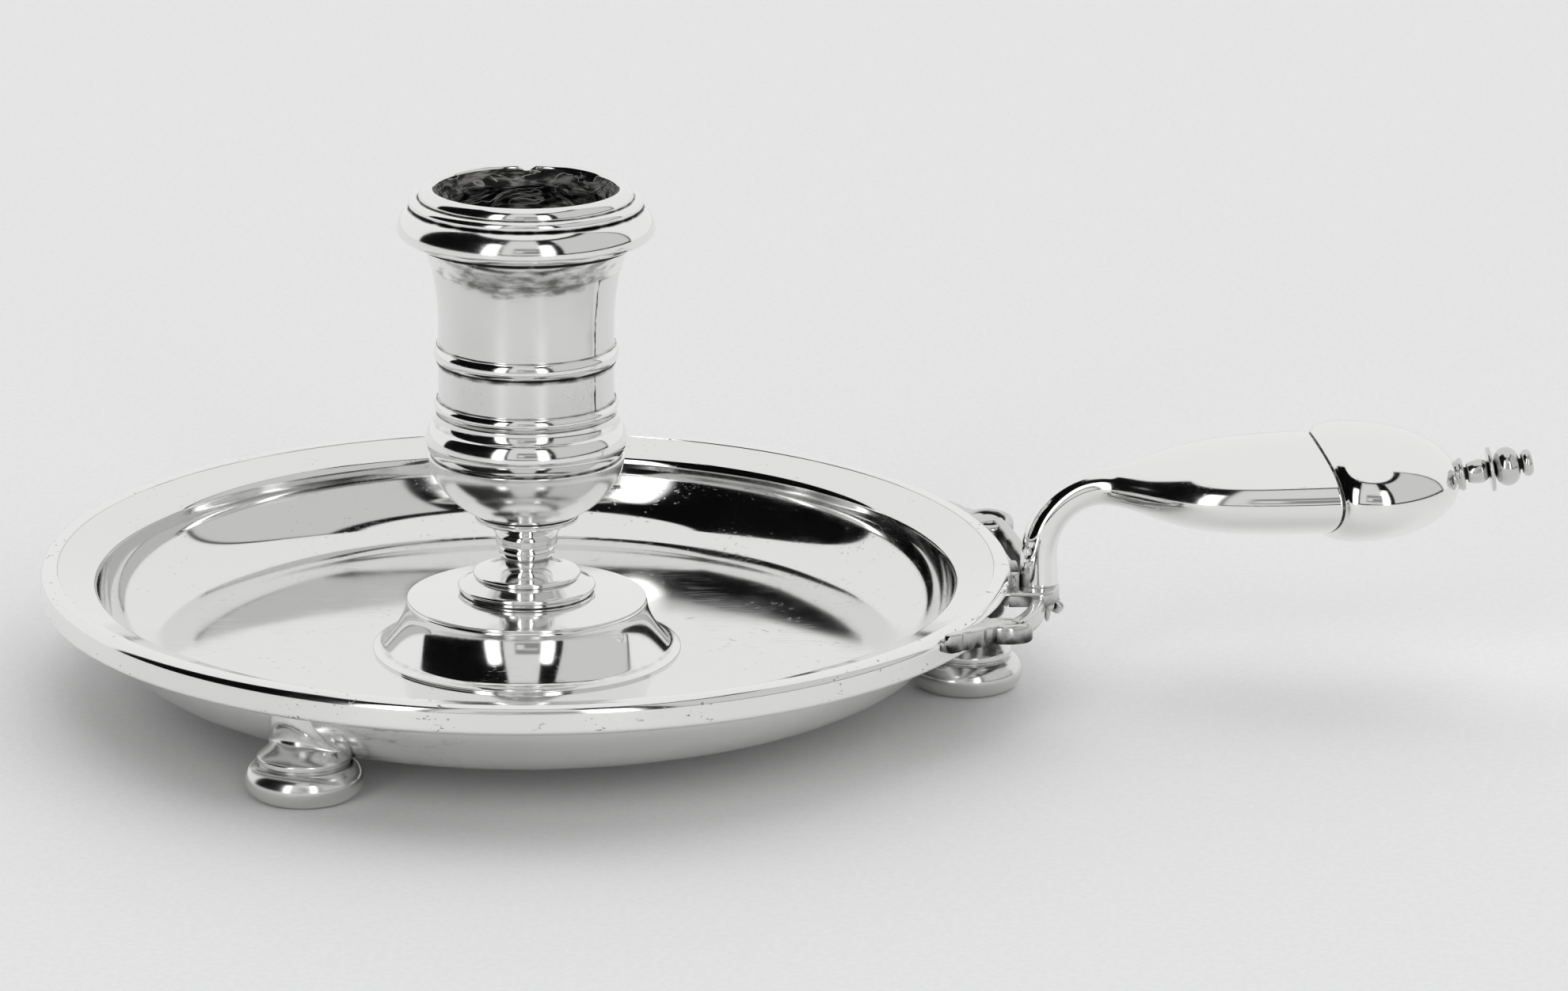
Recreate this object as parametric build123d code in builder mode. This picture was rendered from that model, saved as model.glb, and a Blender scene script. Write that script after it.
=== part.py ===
# Silver chamberstick: a raised pan on three bun feet, a turned candle socket on a bell-shaped base,
# and a hollow oval handle that rises from a scroll bracket on the rim and ends in a turned finial.
# Millimetres. +Z is up, +X points along the handle, and the origin is the candle's seat:
# the middle of the socket's floor, on the candle's axis.

from build123d import *
from math import cos, radians, sin, sqrt
import os

os.makedirs("parts", exist_ok=True)

# One overrun for every cut
OVERRUN = 2.0

# Stack of levels, from the table up to the candle's seat
PAN_CLEARANCE = 4.3
PAN_SHEET = 0.8
PAN_DEPTH = 12.3
BASE_HEIGHT = 7.9
STEM_HEIGHT = 10.8
CUP_HEIGHT = 12.4
FLOOR_SHEET = 0.7

TUBE_FOOT = -FLOOR_SHEET
CUP_FOOT = TUBE_FOOT - CUP_HEIGHT
STEM_FOOT = CUP_FOOT - STEM_HEIGHT
PAN_FLOOR = STEM_FOOT - BASE_HEIGHT
PAN_UNDER = PAN_FLOOR - PAN_SHEET
TABLE = PAN_UNDER - PAN_CLEARANCE
RIM_LINE = PAN_FLOOR + PAN_DEPTH

# Pan: one raised sheet with a round well wall and a flange that climbs to the rim
RIM_RADIUS = 62.0
FLANGE_WIDTH = 5.2
WELL_RADIUS = RIM_RADIUS - FLANGE_WIDTH
WELL_CORNER = 9.5
FLANGE_ROLL = 1.3
FLANGE_RISE = 1.75

# Rim band: the heavy wire soldered round the edge of the flange
BAND_WIDTH = 2.3
BAND_HEIGHT = 3.9
BAND_PROUD = 0.12
BAND_TOP_ROUND = 1.2
BAND_FOOT_ROUND = 0.8
BAND_RADIUS = RIM_RADIUS + BAND_WIDTH

# Feet: three turned buns, the first in line with the handle and the others further in
HANDLE_FOOT_OUTSET = 1.8
HANDLE_FOOT_REACH = WELL_RADIUS + HANDLE_FOOT_OUTSET
SIDE_FOOT_INSET = 3.1
SIDE_FOOT_REACH = WELL_RADIUS - SIDE_FOOT_INSET
SIDE_FOOT_TURN = 120.5
FOOT_CONTACT_RADIUS = 6.2
FOOT_BUN_RADIUS = 7.55
FOOT_BUN_LEVEL = 2.3
FOOT_BUN_HEIGHT = 4.4
FOOT_BUN_TOP_RADIUS = 6.2
FOOT_QUIRK = 0.35
FOOT_QUIRK_RADIUS = 5.75
FOOT_BELL_RADIUS = 6.0
FOOT_BELL_EDGE = 0.7
FOOT_BELL_HEIGHT = 2.9
FOOT_NECK_RADIUS = 3.1

# Socket base: a hollow bell with a crisp shoulder that spreads to a thin edge on the pan's floor
BASE_SHEET = 0.8
BASE_SEAT_RADIUS = 9.7
BASE_SHOULDER_RADIUS = 15.9
BASE_SHOULDER_DROP = 0.75
BASE_SHOULDER_ROUND = 0.4
BASE_WAIST_STEP = 0.12
BASE_WAIST_DROP = 0.65
BASE_FOOT_RADIUS = 20.5
BASE_FOOT_EDGE = 0.45

# Stem: one turned casting of two tiers, a knop, a collar and the ring under the cup
LOWER_TIER_RADIUS = 9.15
LOWER_TIER_LEVEL = 0.55
LOWER_TIER_EDGE = 0.7
LOWER_TIER_QUIRK = 0.4
UPPER_TIER_RADIUS = 7.15
UPPER_TIER_LEVEL = 2.2
UPPER_TIER_EDGE = 0.75
UPPER_TIER_SLOPE = 0.15
NECK_FOOT_RADIUS = 3.35
NECK_FOOT_LEVEL = 4.9
KNOP_RADIUS = 3.75
KNOP_LEVEL = 5.8
KNOP_TOP_LEVEL = 6.7
COLLAR_RADIUS = 4.1
COLLAR_HEIGHT = 1.0
RING_RADIUS = 6.87
RING_HEIGHT = 0.7
RING_SLOPE = 0.35

# Candle tube with its floor and wires
BORE_RADIUS = 10.9
TUBE_SHEET = 0.7
TUBE_LENGTH = 28.75
TUBE_FLARE = 0.8
TUBE_FLARE_HEIGHT = 7.1
TUBE_FLARE_SLOPE = 0.18
TUBE_RADIUS = BORE_RADIUS + TUBE_SHEET
TUBE_TOP = TUBE_FOOT + FLOOR_SHEET + TUBE_LENGTH
LOWER_BEAD_HEIGHT = 1.95
LOWER_BEAD_PROUD = 0.55
MIDDLE_BEAD_LEVEL = 7.85
MIDDLE_BEAD_HEIGHT = 2.45
MIDDLE_BEAD_PROUD = 0.62
BEAD_FILLET = 0.25

# Cup: the raised bowl and bulb that hold the foot of the candle tube
CUP_SHEET = 0.8
CUP_FOOT_RADIUS = 6.5
BOWL_LEVEL = 8.2
BULB_STEP = 0.25
CUP_RIM_RISE = 0.95
CUP_RIM_SLOPE = 0.3
BOWL_PROUD = 1.4
BULB_PROUD = 1.7
BULB_SHOULDER_PROUD = 1.05
CUP_RIM_PROUD = 0.35
BOWL_RADIUS = TUBE_RADIUS + BOWL_PROUD
BULB_RADIUS = TUBE_RADIUS + BULB_PROUD
BULB_SHOULDER_RADIUS = TUBE_RADIUS + BULB_SHOULDER_PROUD
CUP_RIM_RADIUS = TUBE_RADIUS + CUP_RIM_PROUD

# Mouth: a cavetto and torus round the tube's top, with a rolled lip upon them
MOULDING_HEIGHT = 8.15
CAVETTO_HEIGHT = 3.1
CAVETTO_FOOT_SLOPE = 0.3
CAVETTO_TOP_SLOPE = 1.5
TORUS_FILLET = 0.5
TORUS_LEVEL = 1.6
TORUS_FOOT_SLOPE = 0.05
TORUS_TOP_SLOPE = 0.6
LIP_STEP = 1.2
LIP_HEIGHT = 2.65
CAVETTO_FOOT_STEP = 0.12
CAVETTO_FOOT_PROUD = TUBE_FLARE + CAVETTO_FOOT_STEP
CAVETTO_TOP_PROUD = 2.1
TORUS_FOOT_PROUD = 2.6
TORUS_PROUD = 5.35
TORUS_TOP_PROUD = 3.6
LIP_FOOT_PROUD = 3.8
LIP_FILLET_PROUD = 2.8
LIP_NECK_PROUD = 2.5
LIP_ROLL_PROUD = 2.35
MOUTH_FLARE = 1.25
CAVETTO_TOP_RADIUS = TUBE_RADIUS + CAVETTO_TOP_PROUD
TORUS_FOOT_RADIUS = TUBE_RADIUS + TORUS_FOOT_PROUD
TORUS_RADIUS = TUBE_RADIUS + TORUS_PROUD
TORUS_TOP_RADIUS = TUBE_RADIUS + TORUS_TOP_PROUD
LIP_FOOT_RADIUS = TUBE_RADIUS + LIP_FOOT_PROUD
LIP_FILLET_RADIUS = TUBE_RADIUS + LIP_FILLET_PROUD
LIP_NECK_RADIUS = TUBE_RADIUS + LIP_NECK_PROUD
LIP_ROLL_RADIUS = TUBE_RADIUS + LIP_ROLL_PROUD
MOUTH_RADIUS = BORE_RADIUS + MOUTH_FLARE
MOUTH_ROUND_SHARE = 0.155

# Handle: a round neck that rises, arches over and widens to a hollow oval body
NECK_STANDOFF = 3.75
NECK_REACH = BAND_RADIUS + NECK_STANDOFF
NECK_FOOT_DROP = 3.1
NECK_RISE = 4.0
ARCH_RADIUS = 9.4
NECK_RADIUS = 2.4
HANDLE_SHEET = 0.8
BODY_RUN = 28.0
BODY_CLIMB = 0.75
BODY_END_TILT = 2.5
BODY_HALF_WIDTH = 12.6
BODY_HALF_DEPTH = 6.2
# Stations along the body: place, then how far width and depth have gone from neck to body
BODY_STATION_SHARES = ((0.0, 0.0, 0.0), (0.09, 0.20, 0.11), (0.19, 0.49, 0.40), (0.37, 0.79, 0.74),
                       (0.57, 0.93, 0.91), (0.78, 0.985, 0.975), (1.0, 1.0, 1.0))
HOLLOW_STATIONS = 5

# Joint ring: the dark soldered joint between body and cap, a little below their surface
JOINT_WIDTH = 0.6
JOINT_SUNK = 0.35

# Cap: the hollow dome that closes the handle
CAP_LENGTH = 17.6
CAP_CLIMB = 1.0
CAP_END_TILT = 11.0
CAP_SWELL_WIDTH = 1.1
CAP_SWELL_DEPTH = 1.25
CAP_HALF_WIDTH = BODY_HALF_WIDTH + CAP_SWELL_WIDTH
CAP_HALF_DEPTH = BODY_HALF_DEPTH + CAP_SWELL_DEPTH
HOLLOW_CAP_STATIONS = 8
CAP_CROWN_SHARE = 0.22
CAP_STATION_SHARES = (0.0, 0.04, 0.11, 0.22, 0.37, 0.53, 0.69, 0.82, 0.91, 0.97, 0.992)

# Finial: turned along the line on which the cap ends
FINIAL_COLLAR_RADIUS = 2.05
FINIAL_COLLAR_WIDTH = 0.7
FINIAL_WAIST_RADIUS = 0.85
VASE_LENGTH = 2.9
VASE_FOOT_RADIUS = 1.25
VASE_RADIUS = 1.6
VASE_LEVEL = 1.9
FINIAL_FLANGE_RADIUS = 2.9
FINIAL_FLANGE_WIDTH = 0.5
BALL_RADIUS = 2.6
BALL_LENGTH = 3.3
BUTTON_NECK_RADIUS = 0.75
BUTTON_NECK_LENGTH = 0.45
BUTTON_RADIUS = 1.8
BUTTON_WIDTH = 1.4
FINIAL_NECK_LENGTH = 0.5

# Bracket: a cast shield under the neck, a leaf before it and a scroll along the band at each side
SHIELD_THICKNESS = 2.0
SHIELD_HALF_WIDTH = 5.0
SHIELD_REACH = 2.8
RISER_THICKNESS = 1.1
RISER_HALF_WIDTH = 3.4
RISER_HEIGHT = 2.2
LEAF_ROOT_OUTSET = 0.35
LEAF_ROOT_REACH = NECK_REACH + LEAF_ROOT_OUTSET
LEAF_ROOT_DROP = 4.2
LEAF_TILT = 32.0
LEAF_LENGTH = 3.9
LEAF_THICKNESS = 1.2
LEAF_LOBES = 5
LEAF_LOBE_HALF_WIDTH = 1.0
LEAF_SPREAD = 124.0
DROP_OUTSET = 1.25
DROP_REACH = NECK_REACH + DROP_OUTSET
DROP_HALF_WIDTH = 1.5
DROP_HALF_DEPTH = 0.95
DROP_LENGTH = 3.4
DROP_TIP_SHARE = 0.25
SCROLL_TILT = 8.0
SCROLL_THICKNESS = 2.6
SCROLL_ROOT_DROP = 3.7
STRIP_GAP = 2.6
STRIP_WIDTH = 2.0
VOLUTE_TURN = 21.0
VOLUTE_STANDOFF = 2.6
VOLUTE_REACH = BAND_RADIUS + VOLUTE_STANDOFF
VOLUTE_RADIUS = 3.5
EYE_RADIUS = 1.75
EYE_GROOVE = 0.35
TAIL_ROOT_WIDTH = 3.4
TAIL_TIP_TURN = 33.0
TAIL_TIP_WIDTH = 0.9
# Each scoop in the tail: its turn from the volute to the tip, how far its centre stands off the band,
# and its radius, the last two as parts of the tail's root width
COVE_SHARES = ((0.43, 1.18, 0.56), (0.77, 1.0, 0.65))


def well_line():
    """The pan's upper surface from the axis out past the rim line."""
    slope = FLANGE_RISE / (RIM_RADIUS - WELL_RADIUS)
    return FilletPolyline(
        (0, PAN_FLOOR),
        (WELL_RADIUS, PAN_FLOOR),
        (WELL_RADIUS, RIM_LINE - FLANGE_RISE),
        (RIM_RADIUS + OVERRUN, RIM_LINE + slope * OVERRUN),
        radius=[WELL_CORNER, FLANGE_ROLL],
    )


# Pan
with BuildPart() as pan:
    with BuildSketch(Plane.XZ):
        with BuildLine():
            well_line()
            offset(amount=PAN_SHEET, side=Side.RIGHT, closed=True)
        make_face()
        with Locations((RIM_RADIUS + OVERRUN, RIM_LINE)):
            Rectangle(2 * OVERRUN, PAN_DEPTH, mode=Mode.SUBTRACT)
    revolve(axis=Axis.Z)
pan.part.label = "pan"
export_step(pan.part, "parts/pan.step")

# Space over the pan's sheet, which trims what is fitted to the pan from below
with BuildPart() as well_space:
    with BuildSketch(Plane.XZ):
        with BuildLine():
            surface = well_line()
            Polyline(surface @ 1, (RIM_RADIUS + OVERRUN, TUBE_FOOT), (0, TUBE_FOOT), surface @ 0)
        make_face()
    revolve(axis=Axis.Z)

# Rim band
with BuildPart() as rim_band:
    band_top = RIM_LINE + BAND_PROUD
    band_foot = band_top - BAND_HEIGHT
    with BuildSketch(Plane.XZ):
        with BuildLine():
            FilletPolyline((RIM_RADIUS, band_foot), (BAND_RADIUS, band_foot), (BAND_RADIUS, band_top),
                           (RIM_RADIUS, band_top), radius=[BAND_FOOT_ROUND, BAND_TOP_ROUND])
            Line((RIM_RADIUS, band_top), (RIM_RADIUS, band_foot))
        make_face()
    revolve(axis=Axis.Z)
rim_band.part.label = "rim_band"
export_step(rim_band.part, "parts/rim_band.step")


def make_foot(name, reach, turn):
    """One turned bun foot at a reach from the candle's axis, fitted to the pan's underside."""
    place = Plane(origin=(reach * cos(radians(turn)), reach * sin(radians(turn)), TABLE),
                  x_dir=(1, 0, 0), z_dir=(0, -1, 0))
    quirk_top = FOOT_BUN_HEIGHT + FOOT_QUIRK
    bell_edge = quirk_top + FOOT_BELL_EDGE
    bell_top = bell_edge + FOOT_BELL_HEIGHT
    top = RIM_LINE - TABLE
    with BuildPart() as foot:
        with BuildSketch(place):
            with BuildLine():
                Line((0, 0), (FOOT_CONTACT_RADIUS, 0))
                ThreePointArc((FOOT_CONTACT_RADIUS, 0), (FOOT_BUN_RADIUS, FOOT_BUN_LEVEL),
                              (FOOT_BUN_TOP_RADIUS, FOOT_BUN_HEIGHT))
                Polyline((FOOT_BUN_TOP_RADIUS, FOOT_BUN_HEIGHT), (FOOT_QUIRK_RADIUS, FOOT_BUN_HEIGHT),
                         (FOOT_QUIRK_RADIUS, quirk_top), (FOOT_BELL_RADIUS, quirk_top),
                         (FOOT_BELL_RADIUS, bell_edge))
                Spline((FOOT_BELL_RADIUS, bell_edge), (FOOT_NECK_RADIUS, bell_top),
                       tangents=[(-1, 1), (0, 1)])
                Polyline((FOOT_NECK_RADIUS, bell_top), (FOOT_NECK_RADIUS, top), (0, top), (0, 0))
            make_face()
        revolve(axis=Axis(place.origin, (0, 0, 1)))
        add(pan.part, mode=Mode.SUBTRACT)
        add(well_space.part, mode=Mode.SUBTRACT)
    foot.part.label = name
    export_step(foot.part, f"parts/{name}.step")
    return foot.part


foot_under_handle = make_foot("foot_under_handle", HANDLE_FOOT_REACH, 0)
foot_back = make_foot("foot_back", SIDE_FOOT_REACH, SIDE_FOOT_TURN)
foot_front = make_foot("foot_front", SIDE_FOOT_REACH, -SIDE_FOOT_TURN)

# Socket base
with BuildPart() as socket_base:
    shoulder = STEM_FOOT - BASE_SHOULDER_DROP
    with BuildSketch(Plane.XZ):
        with BuildLine():
            crown = FilletPolyline((0, STEM_FOOT), (BASE_SEAT_RADIUS, STEM_FOOT),
                                   (BASE_SHOULDER_RADIUS, shoulder),
                                   (BASE_SHOULDER_RADIUS + BASE_WAIST_STEP, shoulder - BASE_WAIST_DROP),
                                   radius=BASE_SHOULDER_ROUND)
            side = TangentArc(crown @ 1, (BASE_FOOT_RADIUS, PAN_FLOOR + BASE_FOOT_EDGE), tangent=crown % 1)
            Line(side @ 1, side @ 1 + side % 1 * OVERRUN)
            offset(amount=BASE_SHEET, side=Side.RIGHT, closed=True)
        make_face()
        with Locations((0, PAN_FLOOR - BASE_HEIGHT / 2)):
            Rectangle(4 * BASE_FOOT_RADIUS, BASE_HEIGHT, mode=Mode.SUBTRACT)
        with Locations((BASE_FOOT_RADIUS + OVERRUN, PAN_FLOOR)):
            Rectangle(2 * OVERRUN, BASE_HEIGHT, mode=Mode.SUBTRACT)
    revolve(axis=Axis.Z)
socket_base.part.label = "socket_base"
export_step(socket_base.part, "parts/socket_base.step")

# Stem
with BuildPart() as stem:
    with BuildSketch(Plane.XZ):
        with BuildLine():
            quirk_radius = LOWER_TIER_RADIUS - LOWER_TIER_QUIRK
            lower_edge = STEM_FOOT + LOWER_TIER_LEVEL
            lower_top = lower_edge + LOWER_TIER_EDGE
            upper_edge = STEM_FOOT + UPPER_TIER_LEVEL
            upper_top = upper_edge + UPPER_TIER_EDGE
            neck_foot = STEM_FOOT + NECK_FOOT_LEVEL
            knop_top = STEM_FOOT + KNOP_TOP_LEVEL
            collar_top = knop_top + COLLAR_HEIGHT
            ring_foot = CUP_FOOT - RING_HEIGHT
            upper_quirk = UPPER_TIER_RADIUS - LOWER_TIER_QUIRK
            Polyline((0, STEM_FOOT), (quirk_radius, STEM_FOOT), (quirk_radius, lower_edge))
            ThreePointArc((quirk_radius, lower_edge),
                          (LOWER_TIER_RADIUS, lower_edge + LOWER_TIER_EDGE / 2), (quirk_radius, lower_top))
            Line((quirk_radius, lower_top), (upper_quirk, upper_edge))
            ThreePointArc((upper_quirk, upper_edge),
                          (UPPER_TIER_RADIUS, upper_edge + UPPER_TIER_EDGE / 2), (upper_quirk, upper_top))
            Spline((upper_quirk, upper_top), (NECK_FOOT_RADIUS, neck_foot),
                   tangents=[(-1, UPPER_TIER_SLOPE), (0, 1)])
            ThreePointArc((NECK_FOOT_RADIUS, neck_foot), (KNOP_RADIUS, STEM_FOOT + KNOP_LEVEL),
                          (NECK_FOOT_RADIUS, knop_top))
            Polyline((NECK_FOOT_RADIUS, knop_top), (COLLAR_RADIUS, knop_top), (COLLAR_RADIUS, collar_top))
            Spline((COLLAR_RADIUS, collar_top), (RING_RADIUS, ring_foot), tangents=[(0, 1), (1, RING_SLOPE)])
            Polyline((RING_RADIUS, ring_foot), (RING_RADIUS, CUP_FOOT), (0, CUP_FOOT), (0, STEM_FOOT))
        make_face()
    revolve(axis=Axis.Z)
stem.part.label = "stem"
export_step(stem.part, "parts/stem.step")

# Cup: bowl, bulb and the coved rim that grips the tube
with BuildPart() as socket_cup:
    bowl_top = CUP_FOOT + BOWL_LEVEL
    bulb_foot = bowl_top + BULB_STEP
    bulb_middle = (bulb_foot + TUBE_FOOT) / 2
    rim_top = TUBE_FOOT + FLOOR_SHEET + CUP_RIM_RISE
    with BuildSketch(Plane.XZ):
        with BuildLine():
            Line((0, CUP_FOOT), (CUP_FOOT_RADIUS, CUP_FOOT))
            TangentArc((BOWL_RADIUS, bowl_top), (CUP_FOOT_RADIUS, CUP_FOOT), tangent=(0, -1))
            Polyline((BOWL_RADIUS, bowl_top), (BULB_SHOULDER_RADIUS, bowl_top),
                     (BULB_SHOULDER_RADIUS, bulb_foot))
            ThreePointArc((BULB_SHOULDER_RADIUS, bulb_foot), (BULB_RADIUS, bulb_middle),
                          (BULB_SHOULDER_RADIUS, TUBE_FOOT))
            Spline((BULB_SHOULDER_RADIUS, TUBE_FOOT), (CUP_RIM_RADIUS, rim_top),
                   tangents=[(-1, CUP_RIM_SLOPE), (0, 1)])
            Polyline((CUP_RIM_RADIUS, rim_top), (0, rim_top), (0, CUP_FOOT))
        make_face()
    revolve(axis=Axis.Z)
    with BuildSketch(Plane.XZ):
        with BuildLine():
            inner_foot = CUP_FOOT + CUP_SHEET
            inner_radius = BOWL_RADIUS - CUP_SHEET
            Line((0, inner_foot), (CUP_FOOT_RADIUS, inner_foot))
            TangentArc((inner_radius, bowl_top), (CUP_FOOT_RADIUS, inner_foot), tangent=(0, -1))
            Polyline((inner_radius, bowl_top), (BORE_RADIUS, TUBE_FOOT), (TUBE_RADIUS, TUBE_FOOT),
                     (TUBE_RADIUS, rim_top + OVERRUN), (0, rim_top + OVERRUN), (0, inner_foot))
        make_face()
    revolve(axis=Axis.Z, mode=Mode.SUBTRACT)
socket_cup.part.label = "socket_cup"
export_step(socket_cup.part, "parts/socket_cup.step")

# Candle tube, which stands on its floor and flares a little under the moulding
with BuildPart() as candle_tube:
    seat = TUBE_FOOT + FLOOR_SHEET
    flare_top = TUBE_TOP - MOULDING_HEIGHT
    flare_foot = flare_top - TUBE_FLARE_HEIGHT
    flare_radius = TUBE_RADIUS + TUBE_FLARE
    with BuildSketch(Plane.XZ):
        with BuildLine():
            Polyline((BORE_RADIUS, TUBE_TOP), (BORE_RADIUS, seat), (TUBE_RADIUS, seat),
                     (TUBE_RADIUS, flare_foot))
            Spline((TUBE_RADIUS, flare_foot), (flare_radius, flare_top),
                   tangents=[(0, 1), (TUBE_FLARE_SLOPE, 1)])
            Polyline((flare_radius, flare_top), (TUBE_RADIUS, flare_top), (TUBE_RADIUS, TUBE_TOP),
                     (BORE_RADIUS, TUBE_TOP))
        make_face()
    revolve(axis=Axis.Z)
candle_tube.part.label = "candle_tube"
export_step(candle_tube.part, "parts/candle_tube.step")

# Floor soldered under the tube, on which the candle stands
with BuildPart() as socket_floor:
    with BuildSketch(Plane.XY.offset(TUBE_FOOT)):
        Circle(TUBE_RADIUS)
    extrude(amount=FLOOR_SHEET)
socket_floor.part.label = "socket_floor"
export_step(socket_floor.part, "parts/socket_floor.step")


def make_bead(name, foot, height, proud):
    """A half-round wire between two fillets, soldered round the tube."""
    fillet_radius = TUBE_RADIUS + BEAD_FILLET
    with BuildPart() as bead:
        with BuildSketch(Plane.XZ):
            with BuildLine():
                Polyline((fillet_radius, foot + height), (TUBE_RADIUS, foot + height), (TUBE_RADIUS, foot),
                         (fillet_radius, foot), (fillet_radius, foot + BEAD_FILLET))
                ThreePointArc((fillet_radius, foot + BEAD_FILLET),
                              (TUBE_RADIUS + proud, foot + height / 2),
                              (fillet_radius, foot + height - BEAD_FILLET))
                Line((fillet_radius, foot + height - BEAD_FILLET), (fillet_radius, foot + height))
            make_face()
        revolve(axis=Axis.Z)
    bead.part.label = name
    export_step(bead.part, f"parts/{name}.step")
    return bead.part


lower_bead_foot = TUBE_FOOT + FLOOR_SHEET + CUP_RIM_RISE
lower_bead = make_bead("lower_bead", lower_bead_foot, LOWER_BEAD_HEIGHT, LOWER_BEAD_PROUD)
middle_bead = make_bead("middle_bead", MIDDLE_BEAD_LEVEL, MIDDLE_BEAD_HEIGHT, MIDDLE_BEAD_PROUD)

# Mouth moulding: cavetto, fillet and torus
with BuildPart() as mouth_moulding:
    with BuildSketch(Plane.XZ):
        with BuildLine():
            foot = TUBE_TOP - MOULDING_HEIGHT
            cavetto_top = foot + CAVETTO_HEIGHT
            torus_foot = cavetto_top + TORUS_FILLET
            Line((TUBE_RADIUS, foot), (TUBE_RADIUS + CAVETTO_FOOT_PROUD, foot))
            Spline((TUBE_RADIUS + CAVETTO_FOOT_PROUD, foot), (CAVETTO_TOP_RADIUS, cavetto_top),
                   tangents=[(CAVETTO_FOOT_SLOPE, 1), (1, CAVETTO_TOP_SLOPE)])
            Polyline((CAVETTO_TOP_RADIUS, cavetto_top), (TORUS_FOOT_RADIUS, cavetto_top),
                     (TORUS_FOOT_RADIUS, torus_foot))
            Spline((TORUS_FOOT_RADIUS, torus_foot), (TORUS_RADIUS, torus_foot + TORUS_LEVEL),
                   (TORUS_TOP_RADIUS, TUBE_TOP), tangents=[(1, TORUS_FOOT_SLOPE), (-1, TORUS_TOP_SLOPE)])
            Polyline((TORUS_TOP_RADIUS, TUBE_TOP), (TUBE_RADIUS, TUBE_TOP), (TUBE_RADIUS, foot))
        make_face()
    revolve(axis=Axis.Z)
mouth_moulding.part.label = "mouth_moulding"
export_step(mouth_moulding.part, "parts/mouth_moulding.step")

# Mouth lip: an ovolo and a roll that flares in to the bore
with BuildPart() as mouth_lip:
    with BuildSketch(Plane.XZ):
        with BuildLine():
            step = TUBE_TOP + LIP_STEP
            top = TUBE_TOP + LIP_HEIGHT
            crest = top - LIP_HEIGHT * MOUTH_ROUND_SHARE
            crest_radius = (MOUTH_RADIUS + LIP_ROLL_RADIUS) / 2
            Line((BORE_RADIUS, TUBE_TOP), (TORUS_TOP_RADIUS, TUBE_TOP))
            ThreePointArc((TORUS_TOP_RADIUS, TUBE_TOP), (LIP_FOOT_RADIUS, TUBE_TOP + LIP_STEP / 2),
                          (LIP_FILLET_RADIUS, step))
            Line((LIP_FILLET_RADIUS, step), (LIP_NECK_RADIUS, step))
            roll = ThreePointArc((LIP_NECK_RADIUS, step), (LIP_ROLL_RADIUS, (step + top) / 2),
                                 (crest_radius, top))
            TangentArc((crest_radius, top), (MOUTH_RADIUS, crest), tangent=roll % 1)
            Line((MOUTH_RADIUS, crest), (BORE_RADIUS, TUBE_TOP))
        make_face()
    revolve(axis=Axis.Z)
mouth_lip.part.label = "mouth_lip"
export_step(mouth_lip.part, "parts/mouth_lip.step")

# Centreline of the handle, in the upright plane through the candle's axis
NECK_FOOT = RIM_LINE - NECK_FOOT_DROP
arch_foot = Vector(NECK_REACH, 0, NECK_FOOT + NECK_RISE)
arch_top = arch_foot + Vector(ARCH_RADIUS, 0, ARCH_RADIUS)
with BuildLine() as neck_line:
    Line((NECK_REACH, 0, NECK_FOOT), arch_foot)
    TangentArc(arch_foot, arch_top, tangent=(0, 0, 1))
body_direction = Vector(cos(radians(BODY_END_TILT)), 0, sin(radians(BODY_END_TILT)))
cap_direction = Vector(cos(radians(CAP_END_TILT)), 0, sin(radians(CAP_END_TILT)))
body_end = arch_top + Vector(BODY_RUN, 0, BODY_CLIMB)
cap_foot = body_end + body_direction * JOINT_WIDTH
cap_end = cap_foot + Vector(CAP_LENGTH, 0, CAP_CLIMB)
body_path = Spline(arch_top, body_end, tangents=[(1, 0, 0), body_direction])
cap_path = Spline(cap_foot, cap_end, tangents=[body_direction, cap_direction])


def across(path, share):
    """The plane square to a path in the handle's upright plane, with its x axis level."""
    reach = path.length * share
    return Plane(origin=path.position_at(reach, PositionMode.LENGTH), x_dir=(0, 1, 0),
                 z_dir=path.tangent_at(reach, PositionMode.LENGTH))


def between(first, last, share):
    """The size a share of the way from first to last."""
    return first + (last - first) * share


def body_section(station, wall):
    """Half width and half depth of the body at a station, less a wall."""
    place, wide, deep = station
    width = between(NECK_RADIUS, BODY_HALF_WIDTH, wide) - wall
    depth = between(NECK_RADIUS, BODY_HALF_DEPTH, deep) - wall
    return width, depth


# Handle body: a solid round neck, then the hollow oval
with BuildPart() as handle_body:
    with BuildSketch(Plane.XY.offset(NECK_FOOT)):
        with Locations((NECK_REACH, 0)):
            Circle(NECK_RADIUS)
    sweep(path=neck_line.wire())
    for station in BODY_STATION_SHARES:
        with BuildSketch(across(body_path, station[0])):
            Ellipse(*body_section(station, 0))
    loft()
    for station in BODY_STATION_SHARES[-HOLLOW_STATIONS:]:
        with BuildSketch(across(body_path, station[0])):
            Ellipse(*body_section(station, HANDLE_SHEET))
    loft(mode=Mode.SUBTRACT)
handle_body.part.label = "handle_body"
export_step(handle_body.part, "parts/handle_body.step")

# Joint ring
with BuildPart() as joint_ring:
    with BuildSketch(across(body_path, 1)):
        Ellipse(BODY_HALF_WIDTH - JOINT_SUNK, BODY_HALF_DEPTH - JOINT_SUNK)
        Ellipse(BODY_HALF_WIDTH - HANDLE_SHEET, BODY_HALF_DEPTH - HANDLE_SHEET, mode=Mode.SUBTRACT)
    extrude(amount=JOINT_WIDTH)
joint_ring.part.label = "joint_ring"
export_step(joint_ring.part, "parts/joint_ring.step")


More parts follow.
